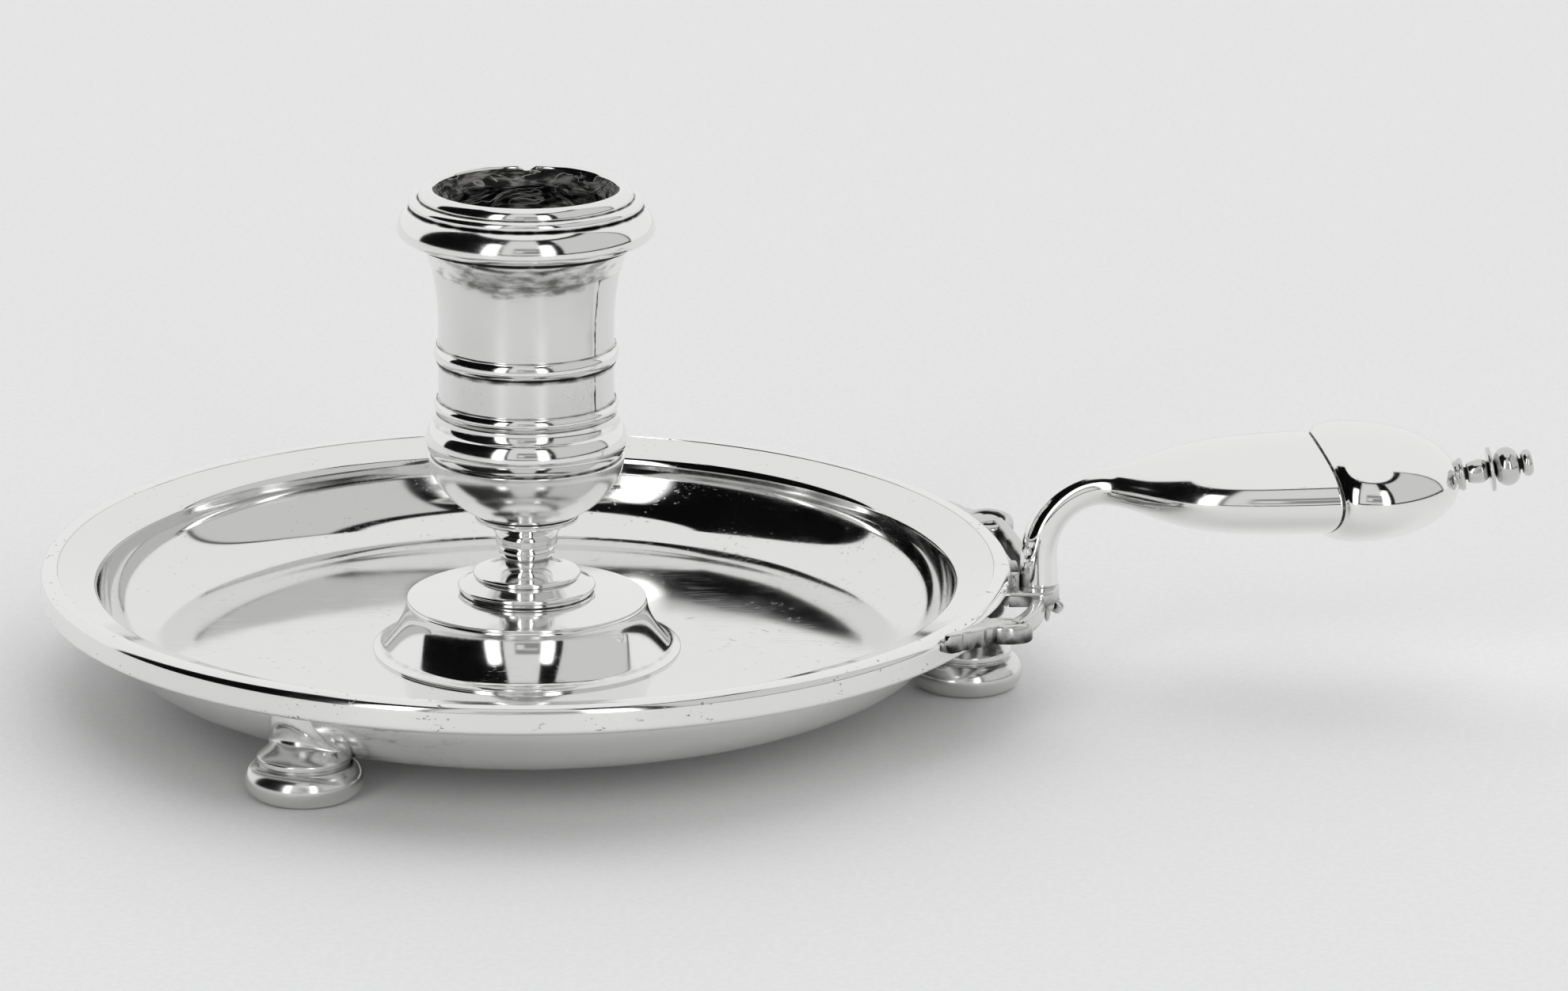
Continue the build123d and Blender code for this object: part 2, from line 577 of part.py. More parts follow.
def cap_swell(share):
    """How far the cap's section has grown from the joint (0) to its crown (1)."""
    turn = min(share / CAP_CROWN_SHARE, 1)
    return sqrt(1 - (1 - turn) ** 2)


def cap_fall(share):
    """The part of the crown's size left beyond the crown, on a quarter oval."""
    turn = max(share - CAP_CROWN_SHARE, 0) / (1 - CAP_CROWN_SHARE)
    return sqrt(1 - turn ** 2)


def cap_section(share, wall):
    """Half width and half depth of the cap at a share of its length, less a wall."""
    width = between(BODY_HALF_WIDTH, CAP_HALF_WIDTH, cap_swell(share)) * cap_fall(share) - wall
    depth = between(BODY_HALF_DEPTH, CAP_HALF_DEPTH, cap_swell(share)) * cap_fall(share) - wall
    return width, depth


# Cap
with BuildPart() as handle_cap:
    for place in CAP_STATION_SHARES:
        with BuildSketch(across(cap_path, place)):
            Ellipse(*cap_section(place, 0))
    loft()
    for place in CAP_STATION_SHARES[:HOLLOW_CAP_STATIONS]:
        with BuildSketch(across(cap_path, place)):
            Ellipse(*cap_section(place, HANDLE_SHEET))
    loft(mode=Mode.SUBTRACT)
handle_cap.part.label = "handle_cap"
export_step(handle_cap.part, "parts/handle_cap.step")

# Finial: its profile runs out along the cap's end, and it is turned about that line
finial_root = across(cap_path, CAP_STATION_SHARES[-1])
finial_plane = Plane(origin=finial_root.origin, x_dir=finial_root.z_dir, z_dir=(0, -1, 0))
with BuildPart() as finial:
    with BuildSketch(finial_plane):
        with BuildLine():
            collar = FINIAL_COLLAR_WIDTH
            vase_foot = collar + FINIAL_NECK_LENGTH
            vase_top = vase_foot + VASE_LENGTH
            flange_top = vase_top + FINIAL_FLANGE_WIDTH
            ball_foot = flange_top + FINIAL_NECK_LENGTH / 2
            ball_top = ball_foot + BALL_LENGTH
            button_foot = ball_top + BUTTON_NECK_LENGTH
            button_top = button_foot + BUTTON_WIDTH
            Line((0, 0), (0, FINIAL_COLLAR_RADIUS))
            ThreePointArc((0, FINIAL_COLLAR_RADIUS), (collar / 2, FINIAL_COLLAR_RADIUS + collar / 4),
                          (collar, FINIAL_COLLAR_RADIUS))
            Polyline((collar, FINIAL_COLLAR_RADIUS), (collar, FINIAL_WAIST_RADIUS),
                     (vase_foot, FINIAL_WAIST_RADIUS), (vase_foot, VASE_FOOT_RADIUS))
            Spline((vase_foot, VASE_FOOT_RADIUS), (vase_foot + VASE_LEVEL, VASE_RADIUS),
                   (vase_top, FINIAL_WAIST_RADIUS))
            Polyline((vase_top, FINIAL_WAIST_RADIUS), (vase_top, FINIAL_FLANGE_RADIUS),
                     (flange_top, FINIAL_FLANGE_RADIUS), (flange_top, FINIAL_WAIST_RADIUS),
                     (ball_foot, FINIAL_WAIST_RADIUS))
            Spline((ball_foot, FINIAL_WAIST_RADIUS), ((ball_foot + ball_top) / 2, BALL_RADIUS),
                   (ball_top, BUTTON_NECK_RADIUS), tangents=[(0, 1), (0, -1)])
            Line((ball_top, BUTTON_NECK_RADIUS), (button_foot, BUTTON_NECK_RADIUS))
            Spline((button_foot, BUTTON_NECK_RADIUS), ((button_foot + button_top) / 2, BUTTON_RADIUS),
                   (button_top, 0), tangents=[(0, 1), (0, -1)])
            Line((button_top, 0), (0, 0))
        make_face()
    revolve(axis=Axis(finial_root.origin, finial_root.z_dir))
finial.part.label = "finial"
export_step(finial.part, "parts/finial.step")

# Shield of the bracket: the plate under the neck and its riser against the band
SHIELD_FOOT = NECK_FOOT - SHIELD_THICKNESS
with BuildPart() as bracket_shield:
    with BuildSketch(Plane.XY.offset(SHIELD_FOOT)):
        with BuildLine():
            inner = BAND_RADIUS - OVERRUN
            Polyline((NECK_REACH, SHIELD_HALF_WIDTH), (inner, SHIELD_HALF_WIDTH),
                     (inner, -SHIELD_HALF_WIDTH), (NECK_REACH, -SHIELD_HALF_WIDTH))
            Spline((NECK_REACH, -SHIELD_HALF_WIDTH), (NECK_REACH + SHIELD_REACH, 0),
                   (NECK_REACH, SHIELD_HALF_WIDTH), tangents=[(1, 0), (-1, 0)])
        make_face()
    extrude(amount=SHIELD_THICKNESS)
    with BuildSketch(Plane.XY.offset(NECK_FOOT)):
        with Locations((BAND_RADIUS - (OVERRUN - RISER_THICKNESS) / 2, 0)):
            Rectangle(OVERRUN + RISER_THICKNESS, 2 * RISER_HALF_WIDTH)
    extrude(amount=RISER_HEIGHT)
    with BuildSketch(Plane.XY.offset(SHIELD_FOOT)):
        Circle(BAND_RADIUS)
    extrude(amount=SHIELD_THICKNESS + RISER_HEIGHT + OVERRUN, mode=Mode.SUBTRACT)
    with BuildSketch(Plane.XY.offset(NECK_FOOT)):
        with Locations((NECK_REACH, 0)):
            Circle(NECK_RADIUS)
    extrude(amount=RISER_HEIGHT, mode=Mode.SUBTRACT)
bracket_shield.part.label = "bracket_shield"
export_step(bracket_shield.part, "parts/bracket_shield.step")

# Leaf: a fan of lobes that slopes out from under the shield, with the drop behind it
leaf_out = Vector(cos(radians(LEAF_TILT)), 0, -sin(radians(LEAF_TILT)))
leaf_up = Vector(sin(radians(LEAF_TILT)), 0, cos(radians(LEAF_TILT)))
leaf_plane = Plane(origin=(LEAF_ROOT_REACH, 0, RIM_LINE - LEAF_ROOT_DROP), x_dir=leaf_out, z_dir=leaf_up)
with BuildPart() as bracket_leaf:
    with BuildSketch(leaf_plane):
        with PolarLocations(LEAF_LENGTH / 2, LEAF_LOBES, start_angle=-LEAF_SPREAD / 2,
                            angular_range=LEAF_SPREAD, endpoint=True):
            Ellipse(LEAF_LENGTH / 2, LEAF_LOBE_HALF_WIDTH)
    extrude(amount=-LEAF_THICKNESS)
    with BuildSketch(Plane.XY.offset(SHIELD_FOOT)):
        with Locations((DROP_REACH, 0)):
            Ellipse(DROP_HALF_DEPTH, DROP_HALF_WIDTH)
    with BuildSketch(Plane.XY.offset(SHIELD_FOOT - DROP_LENGTH)):
        with Locations((DROP_REACH, 0)):
            Ellipse(DROP_HALF_DEPTH * DROP_TIP_SHARE, DROP_HALF_WIDTH * DROP_TIP_SHARE)
    loft()
    add(bracket_shield.part, mode=Mode.SUBTRACT)
bracket_leaf.part.label = "bracket_leaf"
export_step(bracket_leaf.part, "parts/bracket_leaf.step")


def make_scroll(name, side):
    """A scroll beside the band: a strip, a volute with its eye, and a tail with two coves."""
    lean = radians(SCROLL_TILT)
    top = Plane(origin=(0, side * SHIELD_HALF_WIDTH, RIM_LINE - SCROLL_ROOT_DROP), x_dir=(1, 0, 0),
                z_dir=(0, -side * sin(lean), cos(lean)))

    def spot(reach, turn):
        """The place in the tilted plan at a reach from the candle's axis and a turn from the handle."""
        out = reach * sin(radians(turn)) - SHIELD_HALF_WIDTH
        return reach * cos(radians(turn)), side * out / cos(lean)

    strip_foot = BAND_RADIUS + STRIP_GAP
    strip_top = strip_foot + STRIP_WIDTH
    tail_root = BAND_RADIUS + TAIL_ROOT_WIDTH
    tail_tip = BAND_RADIUS + TAIL_TIP_WIDTH
    inner = BAND_RADIUS - OVERRUN
    with BuildPart() as scroll:
        with BuildSketch(top):
            with BuildLine():
                Spline(spot(strip_top, 0), spot(strip_top, VOLUTE_TURN / 2), spot(strip_top, VOLUTE_TURN))
                Line(spot(strip_top, VOLUTE_TURN), spot(strip_foot, VOLUTE_TURN))
                Spline(spot(strip_foot, VOLUTE_TURN), spot(strip_foot, VOLUTE_TURN / 2), spot(strip_foot, 0))
                Line(spot(strip_foot, 0), spot(strip_top, 0))
            make_face()
            with BuildLine():
                middle = (VOLUTE_TURN + TAIL_TIP_TURN) / 2
                Spline(spot(tail_root, VOLUTE_TURN), spot((tail_root + tail_tip) / 2, middle),
                       spot(tail_tip, TAIL_TIP_TURN))
                Polyline(spot(tail_tip, TAIL_TIP_TURN), spot(inner, TAIL_TIP_TURN), spot(inner, middle),
                         spot(inner, VOLUTE_TURN), spot(tail_root, VOLUTE_TURN))
            make_face()
            for place, standoff, radius in COVE_SHARES:
                turn = between(VOLUTE_TURN, TAIL_TIP_TURN, place)
                with Locations(spot(BAND_RADIUS + standoff * TAIL_ROOT_WIDTH, turn)):
                    Circle(radius * TAIL_ROOT_WIDTH, mode=Mode.SUBTRACT)
            with Locations(spot(VOLUTE_REACH, VOLUTE_TURN)):
                Circle(VOLUTE_RADIUS)
        extrude(amount=-SCROLL_THICKNESS)
        with BuildSketch(top):
            with Locations(spot(VOLUTE_REACH, VOLUTE_TURN)):
                Circle(EYE_RADIUS + EYE_GROOVE)
                Circle(EYE_RADIUS, mode=Mode.SUBTRACT)
        extrude(amount=-EYE_GROOVE, mode=Mode.SUBTRACT)
        with BuildSketch(Plane.XY.offset(SHIELD_FOOT - OVERRUN)):
            Circle(BAND_RADIUS)
        extrude(amount=RIM_LINE - SHIELD_FOOT + 2 * OVERRUN, mode=Mode.SUBTRACT)
        add(bracket_shield.part, mode=Mode.SUBTRACT)
        split(bisect_by=Plane(origin=(0, side * SHIELD_HALF_WIDTH, 0), z_dir=(0, side, 0)), keep=Keep.TOP)
    scroll.part.label = name
    export_step(scroll.part, f"parts/{name}.step")
    return scroll.part


scroll_back = make_scroll("scroll_back", 1)
scroll_front = make_scroll("scroll_front", -1)
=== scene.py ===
"""A silver chamberstick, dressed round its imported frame: pan and band, feet, socket, handle, bracket.

Lengths in the classes are millimetres in the part's own frame: +Z up, +X along the handle, and the
origin at the candle's seat. Meshes are written in metres, with their place in the mesh.
"""

import logging
import math
from dataclasses import dataclass, field
from enum import Enum

import bpy
import numpy as np
from mathutils import Matrix, Vector


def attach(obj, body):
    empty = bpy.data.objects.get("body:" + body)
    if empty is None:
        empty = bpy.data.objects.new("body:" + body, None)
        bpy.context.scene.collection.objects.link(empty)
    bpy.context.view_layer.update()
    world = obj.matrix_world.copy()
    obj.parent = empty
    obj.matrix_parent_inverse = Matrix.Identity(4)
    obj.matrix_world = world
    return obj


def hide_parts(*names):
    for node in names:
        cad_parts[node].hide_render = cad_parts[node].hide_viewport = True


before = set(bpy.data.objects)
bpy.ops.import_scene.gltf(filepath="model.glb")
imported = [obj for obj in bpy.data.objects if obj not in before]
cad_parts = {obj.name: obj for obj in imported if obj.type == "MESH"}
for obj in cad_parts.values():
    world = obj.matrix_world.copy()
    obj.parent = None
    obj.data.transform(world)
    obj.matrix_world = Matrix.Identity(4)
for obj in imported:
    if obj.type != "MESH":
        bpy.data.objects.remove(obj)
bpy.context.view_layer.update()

LOG = logging.getLogger("chamberstick")
MM = 0.001
BODY = "root"
AWAY = (0.0, 1.0, 0.0)
UP = (0.0, 0.0, 1.0)
QUARTER = np.pi / 2

# Points round a turned or swept piece, on an outline's rounded corner, and on its arcs and curves
TURNS = 224
ARC_POINTS = 40
CURVE_POINTS = 60
# Millimetres between an outline's even samples, before it is worn
SAMPLE_STEP = 0.03
# The settings of a Map Range node whose ends are soft
SOFT = {"interpolation_type": "SMOOTHSTEP"}

# Levels and places that more than one sub-assembly stands on, in millimetres
TABLE = -36.9
PAN_FLOOR = -31.8
RIM_LINE = -19.5
NECK_REACH = 68.05
NECK_FOOT = -22.6


# ---- tools for shapes ----
def unit(vector: np.ndarray) -> np.ndarray:
    """The vector at length one."""
    return vector / np.linalg.norm(vector)


def slant(tilt: float) -> np.ndarray:
    """A step of length one in an upright plane, climbing at a tilt in degrees."""
    return np.array([math.cos(math.radians(tilt)), math.sin(math.radians(tilt))])


def from_axis(rows: np.ndarray) -> np.ndarray:
    """How far each point lies from the candle's axis."""
    return np.hypot(rows[..., 0], rows[..., 1])


def grid(x: np.ndarray, y: np.ndarray, z: np.ndarray) -> np.ndarray:
    """Rows of points from their three coordinates, each spread over the whole grid."""
    return np.stack(np.broadcast_arrays(x, y, z), axis=-1)


def oval(turns: int, power: float = 1.0) -> list[np.ndarray]:
    """Cosine and sine round a full turn, raised to a power with their signs kept.

    Below one the power squares the oval: it gets flat sides and soft corners.

    Args:
        turns: how many points round.
        power: the power.

    Returns:
        The two curves.
    """
    v = np.linspace(0, 2 * np.pi, turns, endpoint=False)
    return [np.sign(f(v)) * np.abs(f(v)) ** power for f in (np.cos, np.sin)]


def bell(width: float, half: int) -> np.ndarray:
    """A bell curve over half steps to each side, width steps wide, that adds up to one."""
    curve = np.exp(-0.5 * (np.arange(-half, half + 1) / width) ** 2)
    return curve / curve.sum()


def softened(values: np.ndarray, width: float, half: int) -> np.ndarray:
    """Values averaged with a bell curve; beyond the ends they go on level."""
    return np.convolve(np.pad(values, half, mode="edge"), bell(width, half), "valid")


def run_along(path: np.ndarray) -> np.ndarray:
    """How far along a path each of its points lies."""
    return np.concatenate([[0.0], np.cumsum(np.linalg.norm(np.diff(path, axis=0), axis=1))])


def read(path: np.ndarray, places: np.ndarray, at: np.ndarray) -> np.ndarray:
    """The path at given places, on straight lines between its points."""
    return np.stack([np.interp(at, places, column) for column in path.T], axis=1)


def cubic(start: np.ndarray, end: np.ndarray, away: np.ndarray, home: np.ndarray,
          share: np.ndarray) -> np.ndarray:
    """A cubic between two points, with Hermite's weights on the points and on its pulls at both ends.

    Args:
        start: where it starts.
        end: where it ends.
        away: its pull at the start.
        home: its pull at the end.
        share: where to read it, from nought at the start to one at the end.

    Returns:
        The curve's points.
    """
    t = share[:, None]
    return ((2 * t**3 - 3 * t**2 + 1) * start + (t**3 - 2 * t**2 + t) * away
            + (3 * t**2 - 2 * t**3) * end + (t**3 - t**2) * home)


def fillet(before: np.ndarray, corner: np.ndarray, after: np.ndarray, radius: float) -> np.ndarray:
    """Points of the arc that rounds a corner between two straight runs.

    The arc touches both runs at radius * tan(half the turn) from the corner.

    Args:
        before: the point the first run comes from.
        corner: the sharp corner.
        after: the point the second run goes to.
        radius: the arc's radius.

    Returns:
        The arc's points, from the first run to the second.
    """
    into, out = unit(corner - before), unit(after - corner)
    turn = math.atan2(into[0] * out[1] - into[1] * out[0], float(into @ out))
    reach = radius * math.tan(abs(turn) / 2)
    side = math.copysign(1.0, turn)
    start = corner - into * reach
    centre = start + side * radius * np.array([-into[1], into[0]])
    angle = math.atan2(*(start - centre)[::-1]) + np.linspace(0, turn, ARC_POINTS)
    return centre + radius * np.stack([np.cos(angle), np.sin(angle)], axis=1)


@dataclass(frozen=True)
class Profile:
    """A worn outline ready to be turned or swept: its points, and how deep each lies in a groove."""

    points: np.ndarray
    groove: np.ndarray
    closed: bool


class Outline:
    """A path of lines, arcs and easy curves in a half plane: radius first, then height, in millimetres."""

    def __init__(self, radius: float, height: float) -> None:
        """Starts the path at one point."""
        self.runs: list[np.ndarray] = [np.array([[radius, height]], float)]

    @property
    def tip(self) -> np.ndarray:
        """The point the path has reached."""
        return self.runs[-1][-1]

    def line(self, *corners: tuple[float, ...]) -> "Outline":
        """Runs straight through corners; a corner with a third number is rounded by that radius.

        Args:
            corners: (radius, height) or (radius, height, rounding) for each corner in turn.

        Returns:
            The outline itself.
        """
        for place, corner in enumerate(corners):
            here = np.array(corner[:2], float)
            if len(corner) == 3 and corner[2] > 0:
                after = np.array(corners[place + 1][:2], float)
                self.runs.append(fillet(self.tip, here, after, corner[2]))
            else:
                self.runs.append(here[None, :])
        return self

    def arc(self, middle: tuple[float, float], end: tuple[float, float]) -> "Outline":
        """Adds the circle's arc through a middle point to an end point.

        The centre is where the upright bisectors of the two chords meet.

        Args:
            middle: a point on the way.
            end: the arc's end.

        Returns:
            The outline itself.
        """
        a, b, c = self.tip, np.array(middle, float), np.array(end, float)
        chords = np.stack([b - a, c - b])
        centre = np.linalg.solve(chords, np.array([chords[0] @ (a + b), chords[1] @ (b + c)]) / 2)
        first, mid, last = (math.atan2(*(p - centre)[::-1]) for p in (a, b, c))
        sweep = (last - first) % (2 * math.pi)
        if (mid - first) % (2 * math.pi) > sweep:
            sweep -= 2 * math.pi
        angle = first + np.linspace(0, sweep, CURVE_POINTS)[1:]
        round_it = np.stack([np.cos(angle), np.sin(angle)], axis=1)
        self.runs.append(centre + np.linalg.norm(a - centre) * round_it)
        return self

    def ease(self, end: tuple[float, float], leave: tuple[float, float],
             arrive: tuple[float, float]) -> "Outline":
        """Adds a cubic that leaves and arrives along two directions, each pulled by the chord's length.

        Args:
            end: the curve's end.
            leave: its direction at the start.
            arrive: its direction at the end.

        Returns:
            The outline itself.
        """
        start, stop = self.tip, np.array(end, float)
        pull = np.linalg.norm(stop - start)
        away, home = (unit(np.array(way, float)) * pull for way in (leave, arrive))
        self.runs.append(cubic(start, stop, away, home, np.linspace(0, 1, CURVE_POINTS)[1:]))
        return self

    def worn(self, wear: float, count: int, closed: bool = False, reach: float = 0.45) -> Profile:
        """Rounds every edge as polishing does, and keeps more points where the outline bends.

        The outline is resampled at even steps and averaged with a bell curve of width wear. Points are
        then spread by half their length and half their turning. The groove depth is how far a broader
        average lies outside the outline, as a share of its width.

        Args:
            wear: the averaging width.
            count: how many points to keep.
            closed: whether the outline is a loop; otherwise it starts and ends on the axis.
            reach: the width of the broader average that finds grooves.

        Returns:
            The worn profile.
        """
        full_depth, tiny = 0.35, 1e-9
        path = np.concatenate(self.runs)
        if closed:
            path = np.concatenate([path, path[:1]])
        run = run_along(path)
        even = np.linspace(0, run[-1], max(int(run[-1] / SAMPLE_STEP), 64))
        dense = read(path, run, even)

        def averaged(width: float) -> np.ndarray:
            """The dense outline averaged over a width; an open one goes on as its mirror image.

            Args:
                width: the bell curve's width.

            Returns:
                The averaged points.
            """
            sigma = width / even[1]
            half = min(int(4 * sigma) + 1, len(dense) - 2)
            if closed:
                padded = np.concatenate([dense[-half - 1:-1], dense, dense[1:half + 1]])
            else:
                mirror = np.array([-1.0, 1.0])
                padded = np.concatenate([dense[half:0:-1] * mirror, dense, dense[-2:-half - 2:-1] * mirror])
            return np.stack([np.convolve(column, bell(sigma, half), "valid") for column in padded.T], axis=1)

        fine, broad = averaged(wear), averaged(reach)
        tangent = np.gradient(fine, axis=0)
        tangent /= np.maximum(np.linalg.norm(tangent, axis=1, keepdims=True), tiny)
        area = float(np.sum(fine[:-1, 0] * fine[1:, 1] - fine[1:, 0] * fine[:-1, 1]))
        outward = np.stack([tangent[:, 1], -tangent[:, 0]], axis=1) * math.copysign(1.0, area)
        groove = np.clip(np.sum((broad - fine) * outward, axis=1) / (full_depth * reach), 0, 1)
        bend = np.abs(np.gradient(np.unwrap(np.arctan2(tangent[:, 1], tangent[:, 0]))))
        weight = np.cumsum(np.full(len(even), 1 / len(even)) + bend / max(bend.sum(), tiny))
        weight = (weight - weight[0]) / (weight[-1] - weight[0])
        every = np.arange(len(even))
        pick = np.interp(np.linspace(0, 1, count, endpoint=not closed), weight, every)
        return Profile(read(fine, every, pick), np.interp(pick, every, groove), closed)


def ripple(x: np.ndarray, y: np.ndarray, size: float, seed: int, waves: int = 9) -> np.ndarray:
    """An uneven surface between -1 and 1: the mean of plane waves with seeded directions and phases.

    Args:
        x: first coordinate, in millimetres.
        y: second coordinate, in millimetres.
        size: the middle wavelength.
        seed: which surface.
        waves: how many waves are added.

    Returns:
        The height at each point.
    """
    swing = 1.6
    draw = np.random.default_rng(seed)
    turn = draw.uniform(0, 2 * np.pi, waves)
    pace = 2 * np.pi / (size * draw.uniform(0.6, 1.7, waves))
    phase = draw.uniform(0, 2 * np.pi, waves)
    total = np.zeros(np.broadcast(x, y).shape)
    for a, k, p in zip(turn, pace, phase):
        total += np.sin(k * (np.cos(a) * x + np.sin(a) * y) + p)
    return total / waves * swing


def turned(profile: Profile, centre: tuple[float, float, float] = (0.0, 0.0, 0.0),
           axis: tuple[float, float, float] = UP, turns: int = TURNS) -> np.ndarray:
    """Turns a profile about an axis: centre + radius * (cos v, sin v) across the axis + height along it.

    Args:
        profile: the outline, radius first, then the run along the axis.
        centre: the axis's origin.
        axis: the axis's direction.
        turns: how many points round.

    Returns:
        Rows of points, one row for each point of the profile.
    """
    along = Vector(axis).normalized()
    side = Vector(AWAY).cross(along) if abs(along.y) < 0.9 else Vector(UP).cross(along)
    side.normalize()
    other = along.cross(side)
    ring = sum(curve[:, None] * np.array(way) for curve, way in zip(oval(turns), (side, other)))
    radius, height = profile.points[:, 0], profile.points[:, 1]
    return np.array(centre) + radius[:, None, None] * ring + height[:, None, None] * np.array(along)


def woven(rows: np.ndarray, closed: bool) -> tuple[np.ndarray, list[tuple[int, ...]]]:
    """Joins rows of points into a closed skin; open ends close in a fan about the row's middle.

    Args:
        rows: points by row and place round, each row a loop.
        closed: whether the last row joins the first.

    Returns:
        The vertices, and the faces wound outwards.
    """
    count, around = rows.shape[:2]
    index = np.arange(count * around).reshape(count, around)
    lower = index if closed else index[:-1]
    upper = np.roll(index, -1, axis=0) if closed else index[1:]
    quads = np.stack([lower, np.roll(lower, -1, axis=1), np.roll(upper, -1, axis=1), upper], axis=-1)
    quads = quads.reshape(-1, 4)
    vertices = rows.reshape(-1, 3)
    fans = np.zeros((0, 3), int)
    if not closed:
        vertices = np.concatenate([vertices, [rows[0].mean(axis=0), rows[-1].mean(axis=0)]])
        first, last = np.full(around, count * around), np.full(around, count * around + 1)
        fans = np.concatenate([np.stack([np.roll(index[0], -1), index[0], first], axis=1),
                               np.stack([index[-1], np.roll(index[-1], -1), last], axis=1)])
    volume = 0.0
    for corners in (quads[:, :3], quads[:, [0, 2, 3]], fans):
        a, b, c = np.moveaxis(vertices[corners], 1, 0)
        volume += np.einsum("ij,ij->", a, np.cross(b, c))
    if volume < 0:
        quads, fans = quads[:, ::-1], fans[:, ::-1]
    return vertices, quads.tolist() + fans.tolist()


class Mark(Enum):
    """Surface marks that the finishes read from the meshes."""

    # groove: tarnish left in grooves, and on the bracket painted shade in recesses, gaps and undersides
    GROOVE_AND_SHADE = "groove"
    SATIN = "satin"
    STAIN = "stain"


@dataclass
class Skin:
    """A skin for one piece: rows of points, with its marks by row, or by row and place round."""

    rows: np.ndarray
    closed: bool = False
    marks: dict[Mark, np.ndarray] = field(default_factory=dict)

    def values(self, mark: Mark) -> np.ndarray:
        """The mark's value at each vertex, with nought where the skin doesn't carry it.

        Args:
            mark: which mark.

        Returns:
            The values, with those of the closing fans' middles last.
        """
        count, around = self.rows.shape[:2]
        given = self.marks.get(mark)
        if given is None:
            full = np.zeros((count, around))
        else:
            full = np.broadcast_to(given[:, None] if given.ndim == 1 else given, (count, around))
        flat = full.reshape(-1)
        return flat if self.closed else np.concatenate([flat, [full[0].mean(), full[-1].mean()]])


def stitched(name: str, skin: Skin, finish: bpy.types.Material) -> bpy.types.Object:
    """Makes a mesh in metres from a skin, and puts its object at the origin.

    Args:
        name: the object's name.
        skin: its rows.
        finish: its material.

    Returns:
        The new object.
    """
    vertices, faces = woven(skin.rows, skin.closed)
    mesh = bpy.data.meshes.new(name)
    mesh.from_pydata((vertices * MM).tolist(), [], faces)
    mesh.materials.append(finish)
    made = bpy.data.objects.new(name, mesh)
    bpy.context.collection.objects.link(made)
    return made


def lay(name: str, skin: Skin, finish: bpy.types.Material, slot: str, *nodes: str) -> bpy.types.Object:
    """Makes one piece of the object from a skin, in metres, riding on the frame.

    Args:
        name: the piece's name.
        skin: its rows and marks.
        finish: its material.
        slot: not used.
        nodes: the CAD nodes it stands for.

    Returns:
        The new object.
    """
    piece = stitched(name, skin, finish)
    mesh = piece.data
    mesh.polygons.foreach_set("use_smooth", np.ones(len(mesh.polygons), bool))
    for mark in Mark:
        layer = mesh.attributes.new(mark.value, "FLOAT", "POINT")
        layer.data.foreach_set("value", skin.values(mark).astype(np.float32))
    mesh.update()
    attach(piece, BODY)
    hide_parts(*nodes)
    LOG.info("%s: %d faces for %s", name, len(mesh.polygons), ", ".join(nodes))
    return piece


# ---- tools for materials ----
def linear(code: str) -> tuple[float, float, float, float]:
    """Turns an sRGB hex code to linear red, green, blue and full alpha."""
    parts = [int(code[k:k + 2], 16) / 255 for k in (1, 3, 5)]
    return (*(p / 12.92 if p <= 0.04045 else ((p + 0.055) / 1.055) ** 2.4 for p in parts), 1.0)


class Web:
    """A node tree that starts empty and grows one node at a time."""

    def __init__(self, owner: bpy.types.Material | bpy.types.World) -> None:
        """Empties the owner's tree.

        Args:
            owner: the material or world whose tree it is.
        """
        owner.use_nodes = True
        self.tree = owner.node_tree
        self.tree.nodes.clear()

    def add(self, kind: str, *values: object, **settings: object) -> list[bpy.types.NodeSocket]:
        """Adds a shader node with its values, links and settings.

        Args:
            kind: the node's type, without ShaderNode.
            values: a value, or another node's output, for each input in turn; or one dictionary of
                them by the input's name or number.
            settings: the node's own properties.

        Returns:
            The node's outputs.
        """
        made = self.tree.nodes.new("ShaderNode" + kind)
        for key, value in settings.items():
            setattr(made, key, value)
        given = values[0] if values and isinstance(values[0], dict) else dict(enumerate(values))
        for key, value in given.items():
            if isinstance(value, bpy.types.NodeSocket):
                self.tree.links.new(value, made.inputs[key])
            else:
                made.inputs[key].default_value = value
        return made.outputs


class Pattern(Web):
    """A material's tree, with the piece's own millimetres and noise sized in them."""

    def __init__(self, name: str) -> None:
        """Starts an empty material and its millimetre coordinates.

        Args:
            name: the material's name.
        """
        self.material = bpy.data.materials.new(name)
        super().__init__(self.material)
        metres = self.add("TexCoord")["Object"]
        self.place = self.add("VectorMath", metres, (1 / MM,) * 3, operation="MULTIPLY")[0]

    def noise(self, size: float, detail: float = 2.0, stretch: tuple[float, float, float] = (1, 1, 1),
              turn: tuple[float, float, float] = (0, 0, 0), swirl: float = 0.0) -> bpy.types.NodeSocket:
        """Noise on the piece's own millimetres.

        Args:
            size: how long its features are.
            detail: how many finer layers it has.
            stretch: how far it is drawn out along x, y and z.
            turn: how far it is turned first, in radians.
            swirl: how far it is stirred.

        Returns:
            The noise, round about a half.
        """
        scale = tuple(1 / (size * s) for s in stretch)
        placed = self.add("Mapping", {"Vector": self.place, "Rotation": turn, "Scale": scale})[0]
        return self.add("TexNoise", {"Vector": placed, "Scale": 1.0, "Detail": detail,
                                     "Distortion": swirl})[0]

    def surface(self, height: bpy.types.NodeSocket, relief: float,
                sockets: dict[str, object]) -> bpy.types.Material:
        """Joins the relief and the shader's sockets to the material's output.

        Args:
            height: the relief, in millimetres.
            relief: how much of it shows.
            sockets: the shader's inputs.

        Returns:
            The material, ready for a piece.
        """
        normal = self.add("Bump", {"Strength": relief, "Distance": MM, "Height": height})[0]
        self.add("OutputMaterial", self.add("BsdfPrincipled", {**sockets, "Normal": normal})[0])
        return self.material


class Grain(Enum):
    """Which way the last polishing strokes ran."""

    TURNED = "turned"
    HANDWORK = "handwork"


